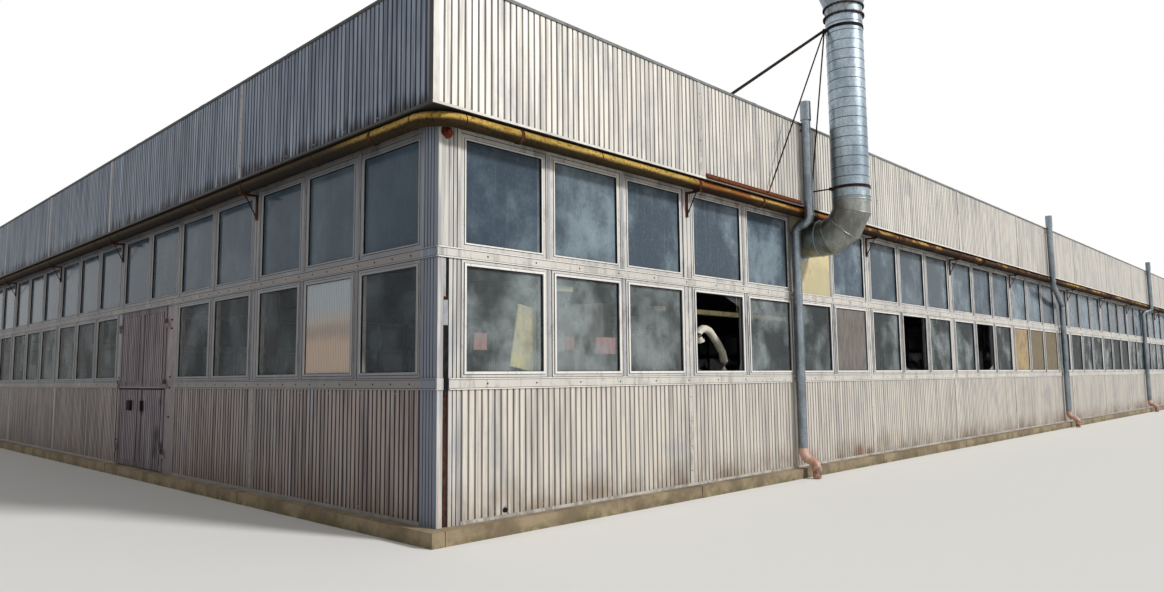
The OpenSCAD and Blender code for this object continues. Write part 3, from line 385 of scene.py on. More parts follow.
def gasPaint():
    material, tree, place = startFinish("yellow_paint_on_steel")
    x, y, z = addNode(tree, "ShaderNodeSeparateXYZ", {"Vector": place}).outputs
    patches = clouds(tree, place, gasCoat["patchMm"], (2.2, 1, 1), 6, 0.7)
    specks = clouds(tree, place, gasCoat["speckMm"], (1, 1, 1), 5, 0.72, 3.3)
    rusty, scaled, shaded = (
        mask(tree, (axis, *(end - width / 2 for end in gasCoat[span]))) for axis, width, span in (
            (x, longWidth, "rustySpan"), (x, longWidth, "scaledSpan"), (y, endWidth, "shadeSpan")))
    rust, scale, dirt = (
        addNode(tree, "ShaderNodeMath", dict(enumerate(values)), operation="MULTIPLY_ADD").outputs[0]
        for values in ((rusty, 0.2, patches), (scaled, 0.22, patches), (patches, 0.07, z)))
    # Near black below the pipe's middle is painted shade on its underside; near black along the end wall is
    # painted shade
    colour = paint(tree, "#cfa95a", ("#a98f48", (patches, 0.4, 0.62)), ("#54361a", (specks, 0.48, 0.64), 0.85),
                   ("#8a4a1f", (rust, 0.58, 0.7), 0.85), ("#2f211a", (scale, 0.62, 0.76), 0.9),
                   ("#17120f", (dirt, *gasCoat["shadedBelow"]), 0.95), ("#1f1b19", shaded, 0.92))
    return closeFinish(material, tree, {
        "Base Color": colour, "Roughness": 0.85, "Specular IOR Level": 0.12}, (specks, 1.5, 0.6))


zinc = {"crystalMm": 22, "firstSeam": 3.805, "seamPitch": 0.137, "lastSeam": 6.37, "lineFrom": 0.88,
        "lineTo": 0.94, "ends": 0.01}


# Hot-dip galvanised sheet: faint zinc crystals 15 to 30 mm wide, soft gloss, dark lock seams, dull rain film
def galvanisedSheet(name, bright, dull, dust=0.3, seams=False):
    material, tree, place = startFinish(name)
    crystal = addNode(tree, "ShaderNodeTexVoronoi", {
        "Vector": place, "Scale": 1000 / zinc["crystalMm"], "Randomness": 1.0})
    tone = addNode(tree, "ShaderNodeSeparateColor", {0: crystal.outputs["Color"]})
    film = clouds(tree, place, 240, (1, 1, 2.5), 5, 0.6, 2.2)
    runs = clouds(tree, place, 45, (1, 1, 9), 4, 0.7, 6.0)
    colour = paint(tree, bright, (dull, tone.outputs[0], 0.45), (dull, (film, 0.4, 0.66), dust + 0.3),
                   ("#5f5d55", (runs, 0.54, 0.75), dust))
    if seams:
        z = addNode(tree, "ShaderNodeSeparateXYZ", {"Vector": place}).outputs[2]
        rise = addNode(tree, "ShaderNodeMath", {0: z, 1: zinc["firstSeam"]}, operation="SUBTRACT")
        turns = addNode(tree, "ShaderNodeMath", {0: rise, 1: zinc["seamPitch"]}, operation="DIVIDE")
        turn = addNode(tree, "ShaderNodeMath", {0: turns}, operation="FRACT").outputs[0]
        colour = paint(tree, colour, ("#33383c", (turn, zinc["lineFrom"], zinc["lineTo"]),
                                      (z, zinc["firstSeam"], zinc["firstSeam"] + zinc["ends"]),
                                      (z, zinc["lastSeam"], zinc["lastSeam"] - zinc["ends"]), 0.75))
    gloss = addNode(tree, "ShaderNodeMapRange", {"Value": tone.outputs[1], "To Min": 0.3, "To Max": 0.42})
    return closeFinish(material, tree, {
        "Base Color": colour, "Metallic": 0.9, "Roughness": gloss}, (film, 2, 0.25))


# Flanged spigot: black rolled angle rings, gone rusty, with the galvanised collar bare between them
spigot = {"collarLow": 6.392, "collarHigh": 6.508}


def flangeSteel():
    material, tree, place = startFinish("black_flange_on_zinc")
    z = addNode(tree, "ShaderNodeSeparateXYZ", {"Vector": place}).outputs[2]
    flakes = clouds(tree, place, 30, (1, 1, 1), 5, 0.7)
    collar = mask(tree, addNode(tree, "ShaderNodeMath", {0: z, 1: spigot["collarLow"]}, operation="GREATER_THAN"),
                  addNode(tree, "ShaderNodeMath", {0: z, 1: spigot["collarHigh"]}, operation="LESS_THAN"))
    ring = paint(tree, "#211d1b", ("#4a3023", (flakes, 0.45, 0.7)))
    sheet = paint(tree, "#9aa4ab", ("#6b6f70", (clouds(tree, place, 90, (1, 1, 2)), 0.4, 0.7)))
    return closeFinish(material, tree, {
        "Base Color": paint(tree, ring, (sheet, collar)), "Metallic": mask(tree, collar, 0.8), "Roughness": 0.55},
        (flakes, 2, 0.5))


# Float glass under years of dust: slate blue before the dark hall, paler blooms, fine dried specks; on every side
# but the front less pale dust and a blue tint as painted shade and painted sky reflection
def dustyGlass(name, lowerCover, upperCover):
    material, tree, place = startFinish(name)
    axes = addNode(tree, "ShaderNodeSeparateXYZ", {"Vector": place}).outputs
    cells = []
    for axis in axes[:2]:
        modules = addNode(tree, "ShaderNodeMath", {0: axis, 1: 1 / hall["module"]}, operation="MULTIPLY")
        cells.append(addNode(tree, "ShaderNodeMath", {0: modules}, operation="FLOOR"))
    row = addNode(tree, "ShaderNodeMath", {0: axes[2], 1: sum(bandLevels["upper"]) / 2}, operation="GREATER_THAN")
    pane = addNode(tree, "ShaderNodeCombineXYZ", {0: cells[0], 1: cells[1], 2: row})
    noise = addNode(tree, "ShaderNodeTexWhiteNoise", {"Vector": pane}, noise_dimensions="3D")
    chance = addNode(tree, "ShaderNodeSeparateColor", {0: noise.outputs["Color"]}).outputs
    film = clouds(tree, place, 560, (1, 1, 1.1), 5, 0.58, 4.0)
    specks = clouds(tree, place, 26, (1, 1, 1.5), 6, 0.78, 8.0)
    rain = clouds(tree, place, 38, (1, 1, 18), 4, 0.6, 5.5)
    settled = addNode(tree, "ShaderNodeMath", {0: chance[0], 1: 0.14, 2: film}, operation="MULTIPLY_ADD")
    # Every side but the front: less pale dust and a blue tint, painted shade and painted sky reflection
    side = shadySides(tree)
    dust = mask(tree, (settled, 0.46, 0.8),
                addNode(tree, "ShaderNodeMapRange", {"Value": side, "To Min": 1.0, "To Max": 0.45}))
    lowerGrey, cover, spread = (
        addNode(tree, "ShaderNodeMapRange", {"Value": row, "To Min": inLower, "To Max": inUpper})
        for inLower, inUpper in ((0.55, 0.0), (lowerCover, upperCover), (0.5, 0.15)))
    colour = paint(tree, "#465361", ("#8797a1", dust), ("#2b3a48", (specks, 0.5, 0.72), 0.5),
                   ("#a9b9c2", (specks, 0.46, 0.3), 0.3), ("#9aa8af", (rain, 0.55, 0.8), 0.3),
                   ("#6a7475", chance[1], 0.45), ("#35424f", (chance[2], 0.55, 1.0), 0.5),
                   ("#a9b1ae", lowerGrey), ("#44586c", side, 0.4))
    solid = addNode(tree, "ShaderNodeMath", {0: cover, 1: mask(tree, dust, spread)}, operation="ADD",
                    use_clamp=True)
    gloss = addNode(tree, "ShaderNodeMapRange", {"Value": dust, "To Min": 0.12, "To Max": 0.4})
    return closeFinish(material, tree, {
        "Base Color": colour, "Roughness": gloss, "IOR": 1.45, "Alpha": solid, "Specular IOR Level": 0.12})


# Coil-coated sheet folded on site: satin grey or white, rain runs, dull with age, and near black as painted shade
# on every side but the front
def coilCoated(name, clean, dirty, dirt=0.6, shade=0.0):
    large = (600, (1, 1, 1), 4, 0.6, 3.0)
    coats = [(dirty, ((70, (1, 1, 5), 5, 0.65), 0.48, 0.7), dirt), (dirty, (large, 0.45, 0.65), dirt * 0.7)]
    if shade:
        coats.append(("#1b1a1a", "shadySides", shade))
    return coatedFinish(name, clean, coats, {"Metallic": 0.05, "Roughness": 0.65, "Specular IOR Level": 0.2},
                        (large, 2, 0.2))


# Twin-wall plastic sheet set in a frame: beige below, sky-grey above, a dull band between
def twinWallPlastic():
    material, tree, place = startFinish("twin_wall_plastic")
    z = addNode(tree, "ShaderNodeSeparateXYZ", {"Vector": place}).outputs[2]
    wave = addNode(tree, "ShaderNodeMath", {0: clouds(tree, place, 500), 1: 0.2, 2: z},
                   operation="MULTIPLY_ADD").outputs[0]
    colour = paint(tree, "#c6b3a3", ("#aeb7bd", (wave, 1.9, 2.3)),
                   ("#8d8a88", (wave, 1.84, 1.96), (wave, 2.1, 1.98), 0.5))
    return closeFinish(material, tree, {"Base Color": colour, "Roughness": 0.5, "Specular IOR Level": 0.2})


# Stains on the door and at the foot of the front wall: place along the wall, height, radius, colour
doorStains = [(tuple(wallPoint("left", u, 0, z)), radius, "#2a1c15") for u, z, radius in (
    (6.62, 0.62, 0.2), (6.66, 0.42, 0.17), (6.42, 0.48, 0.13), (7.25, 0.98, 0.12), (6.5, 1.1, 0.1))]
dadoStains = [(tuple(wallPoint("front", u, 0, z)), radius, shade) for u, z, radius, shade in (
    (7.9, 0.22, 0.16, "#8a5a34"), (8.2, 0.18, 0.12, "#7d5433"), (0.76, 0.2, 0.04, "#241f1c"))]
# Levels between which soot runs down, and patterns that both a colour and a bump follow
dadoRun, fasciaRun, casingRun, doorRun = (0.2, 1.29), (4.3, 4.88), (0.2, 3.7), (1.0, 2.4)
granules, boardGrain, grit = (9, (1, 1, 1), 3, 0.8), (40, (1, 1, 7), 5, 0.65), (11, (1, 1, 1), 5, 0.7, 2.0)
finishes = {
    "dado": rolledAluminium("rolled_aluminium_dado", "#d5cdc1", "#aea9a2", "#6d6862", *dadoRun, splash=0.7,
                            stains=dadoStains),
    # Dado for the left and back walls: a darker copy of the front's as painted shade, with painted groove shade
    # and highlight lines
    "shadeDado": rolledAluminium("grimy_aluminium_dado_in_painted_shade", "#a39793", "#6d6463", "#3e3634", *dadoRun, splash=0.5,
                                 grooveShade=0.9, tint="#76757f", shine=0.15, gleam=0.45),
    "fascia": rolledAluminium("rolled_aluminium_fascia", "#dcd6cc", "#b3afa8", "#7b7266", *fasciaRun),
    # Fascia for the left and back walls: darker and bluer than the front's as painted shade and painted sky
    # reflection, with painted groove shade and highlight lines; the black along its lower edge is mould
    "shade": rolledAluminium("grimy_aluminium_fascia_in_painted_shade", "#8b95a4", "#616a78", "#454a52", *fasciaRun,
                             mouldBelow=level["fascia"], grooveShade=0.8, tint="#5f6f85", shine=0.18, gleam=0.5),
    # Corner casings: the film is painted shade and painted sky reflection on their side faces, with painted groove
    # shade and highlight lines; soot and splash are dirt
    "casing": rolledAluminium("grimy_corner_casing_with_painted_shade", "#c9c5bd", "#9c9a99", "#69655f", *casingRun, splash=0.4,
                              grooveShade=0.8, tint="#8793a6", shine=0.25, film="#697384", gleam=0.4),
    # On every side but the front each chalked section wears its film colour, or the side colour, as painted shade
    "sections": chalkedSection("chalked_sections", "#cbc7c0", "#a09e9d"),
    "bands": chalkedSection("chalked_bands", "#cbc6bd", "#a29e99", film="#554d4f"),
    "strips": chalkedSection("chalked_strips", "#c3bfb6", "#97948f", 0.46, 0.6),
    "doorPosts": chalkedSection("stained_door_posts", "#b3a9a4", "#847a78", 0.46, 0.85, "#62575b"),
    # Door: groove shade and highlight lines painted on; the stains are dirt
    "door": rolledAluminium("rolled_aluminium_door", "#8c8085", "#544c53", "#2f2725", *doorRun, grooveShade=0.95,
                            tint="#6d5f63", shine=0.1, stains=doorStains, gleam=0.4),
    "beads": chalkedSection("white_coated_beads", "#e2dfd9", "#b8b5b0", 0.56, 0.85, "#666b75"),
    "caps": chalkedSection("grey_section_caps", "#a7a8ac", "#85868b", 0.5),
    # Extruded rubber seal, gone grey and hard, with grit in it
    "rubber": coatedFinish("perished_rubber_seal", "#171616", [("#2f2c29", ((30, (1, 1, 4), 4), 0.45, 0.7))],
                           {"Roughness": 0.9, "Specular IOR Level": 0.1}),
    "rust": rustedSteel("rusted_steel", "#2e1c15", "#593521"),
    "blackSteel": rustedSteel("dark_rusted_steel", "#1d1a19", "#2c211c", "#25211f", 0.6),
    "fitting": rustedSteel("rust_blistered_steel", "#7a3722", "#4b2016", "#8a4a2e", 0.5),
    "stays": rustedSteel("stay_steel", "#1d1a19", "#2c211c", "#25211f", 0.6, orangeBelow=3.95),
    "flange": flangeSteel(),
    "gas": gasPaint(),
    "zinc": galvanisedSheet("galvanised_sheet", "#a7b4bd", "#6f7d88", 0.35, seams=True),
    "elbowZinc": galvanisedSheet("sooty_galvanised_sheet", "#979b95", "#686a62", 0.55),
    "dullZinc": galvanisedSheet("weathered_galvanised_sheet", "#97a1a9", "#656d73", 0.5),
    "glass": dustyGlass("dusty_float_glass", 0.12, 0.84),
    "dimGlass": dustyGlass("caked_float_glass", 0.86, 0.94),
    # Precast concrete kept wet by the ground: grey-brown, moss near the soil, pale worn arrises
    "plinth": coatedFinish("weathered_precast_concrete", "#6f614b", [
        ("#96866b", ((480, (1, 1, 1), 6, 0.66), 0.38, 0.64)), ("#4e4639", (grit, 0.52, 0.72), 0.6),
        ("#4a4f28", ("height", 0.085, 0.0), ((140, (1, 1, 1), 5, 0.6, 5.0), 0.4, 0.6), 0.7)],
        {"Roughness": 0.93}, (grit, 5, 0.8)),
    # Trowelled concrete floor, dusty and stained
    "floor": coatedFinish("trowelled_concrete", "#6a665f", [
        ("#8b867b", ((1500, (1, 1, 1), 6, 0.6), 0.35, 0.65)), ("#4b4741", ((30,), 0.55, 0.75), 0.4)],
        {"Roughness": 0.75}),
    # Lime-washed render inside, grey with dust
    "limewash": coatedFinish("limewashed_render", "#8f897c", [("#aaa497", ((900, (1, 1, 1), 5), 0.35, 0.7))],
                             {"Roughness": 0.9}, ((18,), 2, 0.4)),
    # Brushed machine grey on steel sections, dull with dust
    "greySteel": coatedFinish("grey_paint_on_steel", "#5c5f5e", [("#48423b", ((700, (1, 1, 1), 5), 0.4, 0.65))],
                              {"Roughness": 0.7}),
    # Bitumen felt with slate granules: near black, speckled, with pale dust where water has stood
    "felt": coatedFinish("mineral_felt", "#3a3c3e", [
        ("#595b5c", (granules, 0.45, 0.6)), ("#6b6961", ((1700, (1, 1, 1), 8, 0.7, 3.0), 0.38, 0.72), 0.5)],
        {"Roughness": 0.92}, (granules, 2, 0.6)),
    # Dark board under the fascia, black with soot and mould
    "soffit": coatedFinish("sooty_board", "#1d1a17", [("#3b342c", ((350, (1, 1, 1), 5), 0.4, 0.7))],
                           {"Roughness": 0.85}),
    # Coping and white trims are near black on every side but the front: painted shade
    "coping": coilCoated("grey_coil_coated_sheet", "#7e8180", "#4a4944", shade=0.7),
    "white": coilCoated("white_coil_coated_sheet", "#dedad2", "#968f84", 0.4, shade=0.92),
    "paleArm": coilCoated("dusty_coated_tube", "#d9d4c4", "#9a9585", 0.5),
    "twinWall": twinWallPlastic(),
    # Extruded sewer-pipe PVC, bleached pink by the sun, mud on its lower bend
    "pvc": coatedFinish("faded_sewer_pvc", "#c08a76", [
        ("#d6b3a2", ((130, (1, 1, 1), 4), 0.35, 0.65)), ("#5a4433", ("height", 0.3, 0.04), ((40,), 0.35, 0.6))],
        {"Roughness": 0.5, "IOR": 1.53}),
    # Cream gloss on fibre board, rubbed grey at hand height
    "cream": coatedFinish("cream_painted_board", "#cdbd92", [
        ("#b6ab86", ((600,), 0.4, 0.62)), ("#6d6851", ((210, (1.6, 1.6, 1), 5, 0.6, 2.0), 0.56, 0.7), 0.55)],
        {"Roughness": 0.55}),
}
# Planed boards, hardboard and paper, gone grey or tan behind the glass
boardTones = {
    "yellowBoard": ("#e6dca8", "#d3c792"), "greyBoard": ("#55534c", "#3a3833"),
    "tanBoard": ("#ab9671", "#877252"), "oliveBoard": ("#786c51", "#5b523f"),
    "mauveBoard": ("#736d6a", "#59544f"), "paper": ("#b98580", "#8d5f60"),
}
for key, (pale, dark) in boardTones.items():
    finishes[key] = coatedFinish("stored_" + key, pale, [
        (dark, (boardGrain, 0.4, 0.64)), ("#6a6050", ((260,), 0.46, 0.66), 0.5)], {"Roughness": 0.8},
        (boardGrain, 1, 0.4))
# The record's slot for each finish that small parts wear
slotFinishes = {
    "plain_aluminium": ("beads", "caps", "doorPosts"), "door_aluminium": ("door",), "window_glass": ("glass",),
    "dark_steel": ("rubber", "blackSteel"), "rusty_steel": ("rust", "fitting"), "roof_felt": ("felt",),
    "galvanised_steel": ("zinc", "elbowZinc", "dullZinc", "paleArm"), "coping_sheet": ("coping",),
    "cream_board": ("twinWall", *boardTones),
}
finishSlot = {finish: slot for slot, worn in slotFinishes.items() for finish in worn}
nodeFinish = {
    "floor_slab": "floor", "plinth": "plinth", "dado_walls": "limewash", "parapet_walls": "limewash",
    "steel_columns": "rust", "roof_beams": "greySteel", "roof_deck": "felt",
    "cover_strips": "strips", "drip_trims": "strips", "window_bands": "bands", "window_posts": "sections",
    "corner_casings": "casing", "soffits": "soffit", "fascia_trims": "white", "copings": "coping",
    "gas_pipe": "gas", "pipe_brackets": "rust", "downpipes": "dullZinc", "downpipe_shoes": "pvc",
    "duct_panel": "cream", "duct_elbow": "elbowZinc", "duct_stack": "zinc", "duct_flange": "flange",
    "duct_head": "zinc", "duct_stays": "stays", "door_frame": "doorPosts",
    "left_door_leaf": "door", "right_door_leaf": "door", "lock_case": "blackSteel", "door_pull": "blackSteel",
}
# Front and right walls wear the sheets without painted shade; left and back walls wear the darker copies with
# painted shade
for side in walls:
    nodeFinish[side + "_dado_sheets"] = "dado" if side in ("front", "right") else "shadeDado"
    nodeFinish[side + "_fascia_sheets"] = "fascia" if side in ("front", "right") else "shade"
    nodeFinish[side + "_window_frames"] = "sections"
    nodeFinish[side + "_glass"] = "glass" if side in ("front", "left") else "dimGlass"
for name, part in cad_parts.items():
    part.data.materials.clear()
    part.data.materials.append(finishes[nodeFinish[name]])
print("finishes on", len(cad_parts), "nodes")


# Fixings: one small shape on every point, turned the way the point faces
fixing = {"roundRatio": 0.62, "ringSteps": 40, "beadSteps": 8}


def headShape(tree, given):
    top = addNode(tree, "ShaderNodeMath", {0: given["Head Radius"], 1: fixing["roundRatio"]}, operation="MULTIPLY")
    return addNode(tree, "GeometryNodeMeshCone", {
        "Vertices": given["Sides"], "Radius Top": top, "Radius Bottom": given["Head Radius"],
        "Depth": given["Head Height"]}).outputs["Mesh"]


def ringShape(tree, given):
    path, section = (addNode(tree, "GeometryNodeCurvePrimitiveCircle", {
        "Resolution": fixing[steps], "Radius": given[label]}).outputs[0]
        for steps, label in (("ringSteps", "Ring Radius"), ("beadSteps", "Bead Radius")))
    return addNode(tree, "GeometryNodeCurveToMesh", {"Curve": path, "Profile Curve": section}).outputs[0]


def pointTree(name, shapeOf, sizes):
    tree = bpy.data.node_groups.new(name, "GeometryNodeTree")
    for label, kind in {"Geometry": "Geometry", **sizes, "Finish": "Material"}.items():
        tree.interface.new_socket(label, in_out="INPUT", socket_type="NodeSocket" + kind)
    tree.interface.new_socket("Geometry", in_out="OUTPUT", socket_type="NodeSocketGeometry")
    given = addNode(tree, "NodeGroupInput").outputs
    facing = addNode(tree, "GeometryNodeInputNamedAttribute", {"Name": "facing"}, data_type="FLOAT_VECTOR")
    turn = addNode(tree, "FunctionNodeAlignRotationToVector", {"Vector": facing.outputs[0]}, axis="Z")
    copies = addNode(tree, "GeometryNodeInstanceOnPoints", {
        "Points": given["Geometry"], "Instance": shapeOf(tree, given), "Rotation": turn.outputs[0]})
    plain = addNode(tree, "GeometryNodeRealizeInstances", {"Geometry": copies})
    coated = addNode(tree, "GeometryNodeSetMaterial", {"Geometry": plain, "Material": given["Finish"]})
    addNode(tree, "NodeGroupOutput", {"Geometry": coated})
    return tree


nodeTrees = {
    "heads": pointTree("fixing_heads", headShape, {
        "Head Radius": "Float", "Head Height": "Float", "Sides": "Int"}),
    "rings": pointTree("rings_round_pipes", ringShape, {"Ring Radius": "Float", "Bead Radius": "Float"}),
}


# Runs one of the trees on spots, each a point and the way it faces, and keeps the plain mesh
def growPiece(name, spots, treeName, values, finish, smooth=False):
    seed = bpy.data.meshes.new(name + "_points")
    seed.from_pydata([tuple(point) for point, _ in spots], [], [])
    facing = seed.attributes.new("facing", "FLOAT_VECTOR", "POINT")
    for spot, (_, way) in zip(facing.data, spots):
        spot.vector = way
    carrier = bpy.data.objects.new(name + "_points", seed)
    bpy.context.scene.collection.objects.link(carrier)
    growth = carrier.modifiers.new("growth", "NODES")
    growth.node_group = nodeTrees[treeName]
    sockets = {item.name: item.identifier for item in nodeTrees[treeName].interface.items_tree
               if item.in_out == "INPUT"}
    for label, value in {**values, "Finish": finishes[finish]}.items():
        growth[sockets[label]] = value
    shown = carrier.evaluated_get(bpy.context.evaluated_depsgraph_get())
    mesh = bpy.data.meshes.new_from_object(shown)
    mesh.name = name
    carrier.modifiers.remove(growth)
    bpy.data.objects.remove(carrier)
    bpy.data.meshes.remove(seed)
    return dressPiece(name, mesh, finish, smooth=smooth)


# Four bars round a rectangle, inset from its edges and of width by depth in front of face
def addBorder(shape, wall, place, inset, width, back, front):
    u0, u1, z0, z1 = place[0] + inset, place[1] - inset, place[2] + inset, place[3] - inset
    addBox(shape, wall, (u0, front, z0), (u1, back, z0 + width))
    addBox(shape, wall, (u0, front, z1 - width), (u1, back, z1))
    addBox(shape, wall, (u0, front, z0 + width), (u0 + width, back, z1 - width))
    addBox(shape, wall, (u1 - width, front, z0 + width), (u1, back, z1 - width))


# Sashes: a stepped bead inside each lower frame, a thin glazing bead in each upper one, black seals beside them
sash = {"lower": {"face": -hall["sashOut"], "inset": 0.034, "wide": 0.022, "proud": 0.009},
        "upper": {"face": hall["sashOut"], "inset": hall["frameBar"] - 0.014, "wide": 0.014, "proud": 0.005}}
seal = {"wide": 0.005, "proud": 0.001, "paneInset": hall["frameBar"] - 0.001, "paneFront": 0.004, "paneBack": 0.02}
unframed = {("left", "lower"): doorCells, ("front", "upper"): (ductCell,)}


def dressSashes():
    for wall, side in walls.items():
        beads, seals = bmesh.new(), bmesh.new()
        for row, bead in sash.items():
            face = bead["face"]
            for u, w, n in windowCells(side["bays"]):
                if n in unframed.get((wall, row), ()):
                    continue
                place = (u, u + w, *rows[row])
                addBorder(beads, wall, place, bead["inset"], bead["wide"], face, face - bead["proud"])
                for inset in (bead["inset"] - seal["wide"], 0.0):
                    addBorder(seals, wall, place, inset, seal["wide"], face, face - seal["proud"])
                addBorder(seals, wall, place, seal["paneInset"], seal["wide"], face + seal["paneBack"],
                          face + seal["paneFront"])
        finishShape(wall + "_sash_beads", beads, "beads")
        finishShape(wall + "_window_seals", seals, "rubber")


dressSashes()
print("sashes dressed")

# Caps on the mullions, and the open joint down the middle of every post between two beads
caps = {"wide": 0.034, "proud": 0.004, "jointWide": 0.007, "jointProud": 0.0012, "bead": 0.012, "beadProud": 0.005}


def dressPosts():
    for wall, side in walls.items():
        shape, joints = bmesh.new(), bmesh.new()
        cells = windowCells(side["bays"])
        for (u, w, n), (after, _, m) in zip(cells, cells[1:]):
            middle = (u + w + after) / 2
            for row, (low, high) in rows.items():
                if wall == "left" and row == "lower" and (n in doorCells or m in doorCells):
                    continue
                bars = [(joints, middle - caps["jointWide"] / 2, caps["jointWide"], caps["jointProud"]),
                        (shape, u + w, caps["bead"], caps["beadProud"]),
                        (shape, after - caps["bead"], caps["bead"], caps["beadProud"])]
                if after - u - w < hall["post"] / 2:
                    bars = [(shape, middle - caps["wide"] / 2, caps["wide"], caps["proud"])]
                for target, start, wide, proud in bars:
                    addBox(target, wall, (start, -proud, low), (start + wide, 0, high))
        finishShape(wall + "_mullion_caps", shape, "caps")
        finishShape(wall + "_post_joints", joints, "rubber")


dressPosts()
print("posts dressed")

# Folded lips along the sill and transom bands, black strips beside them as painted shade in the creases, and the
# screws that hold the bands
bands = {"lipHigh": 0.010, "lipProud": 0.005, "crease": 0.004, "creaseProud": 0.001, "longPitch": 0.6,
         "endPitch": 0.3, "screw": {"Head Radius": 0.010, "Head Height": 0.004, "Sides": 6}}


# Lips along both edges of a band, with a black strip beside each as painted shade in its crease
def addBandEdges(lips, creaseShadows, wall, start, end, low, high):
    face, lip = -hall["bandOut"], bands["lipHigh"]
    for z in (low, high - lip):
        addBox(lips, wall, (start, face - bands["lipProud"], z), (end, face, z + lip))
    for z in (low + lip, high - lip - bands["crease"]):
        addBox(creaseShadows, wall, (start, face - bands["creaseProud"], z), (end, face, z + bands["crease"]))


def dressBands():
    spots = []
    for wall, side in walls.items():
        lips, creaseShadows = bmesh.new(), bmesh.new()
        pitch = bands["endPitch"] if wall in ("left", "right") else bands["longPitch"]
        for row, (low, high) in bandLevels.items():
            spans = [(hall["casing"], side["width"] - hall["casing"])]
            if wall == "left" and row == "lower":
                spans = [(hall["casing"], hall["door"][0] - hall["doorPost"]),
                         (hall["door"][1] + hall["post"] / 2, side["width"] - hall["casing"])]
            for start, end in spans:
                addBandEdges(lips, creaseShadows, wall, start, end, low, high)
                count = max(1, round((end - start) / pitch))
                spots += [(wallPoint(wall, start + (k + 0.5) * (end - start) / count, -hall["bandOut"],
                                     (low + high) / 2), side["facing"]) for k in range(count)]
        finishShape(wall + "_band_lips", lips, "beads")
        finishShape(wall + "_band_crease_shadows", creaseShadows, "rubber")
    growPiece("band_screws", spots, "heads", bands["screw"], "blackSteel")


dressBands()
print("bands dressed")

# Screws down the cover strips and along both edges of the ribbed sheets
screws = {"pitch": 0.32, "stripThick": 0.005, "sheetPitch": 0.6, "sheetInset": 0.035, "ridge": 0.0375,
          "low": 0.03, "highLow": 0.012, "doorBefore": 0.4, "doorAfter": 0.1,
          "head": {"Head Radius": 0.008, "Head Height": 0.003, "Sides": 6}}


def dressSheets():
    strips, sheets = [], []
    doorStart, doorEnd = hall["door"]
    for wall, side in walls.items():
        for low, high, face in ((level["floor"] + screws["low"], level["dado"], 0.0),
                                (level["fascia"] + screws["highLow"], level["top"], -hall["fasciaOut"])):
            byDoor = wall == "left" and face == 0.0
            count = round((high - low) / screws["pitch"])
            for u in bayStarts(side["bays"])[1:-1]:
                if byDoor and abs(u - doorEnd - hall["post"] / 2) < 0.01:
                    continue  # the door's post stands there
                levels = [low + (k + 0.5) * (high - low) / count for k in range(count)]
                strips += [(wallPoint(wall, u, face - screws["stripThick"], z), side["facing"]) for z in levels]
            for k in range(int(side["width"] / screws["sheetPitch"]) - 1):
                u = (k + 1) * screws["sheetPitch"] + screws["ridge"]
                if not (byDoor and doorStart - screws["doorBefore"] < u < doorEnd + screws["doorAfter"]):
                    sheets += [(wallPoint(wall, u, face, z), side["facing"])
                               for z in (low + screws["sheetInset"], high - screws["sheetInset"])]
    growPiece("strip_screws", strips, "heads", screws["head"], "blackSteel")
    growPiece("sheet_screws", sheets, "heads", screws["head"], "dullZinc")


dressSheets()
print("sheets fixed")

# Duct: beads on the elbow's mitres, bolts in the flanges, a collar on the panel, rivets round the laps
duct = {"radius": 0.25, "bend": 0.445, "axisLevel": 3.3, "mitresDeg": (15, 45, 75), "goreHalfDeg": 15,
        "points": 64, "seamRadius": 0.006, "collarTop": 3.805, "lapDown": 0.05, "lapProud": 0.003, "wallLap": 0.29,
        "flangeLow": 6.375, "flangeHigh": 0.15, "flangeThick": 0.014, "boltRing": 0.268, "bolts": 16,
        "rivets": 24, "rivetDown": 0.025, "wallRivets": 0.265, "coneHigh": 0.3, "coneDeg": 20, "rimHigh": 0.26,
        "rimIn": 0.002, "rimDown": 0.008, "panelRing": 0.036, "panelGap": 0.001, "panelThick": 0.005}


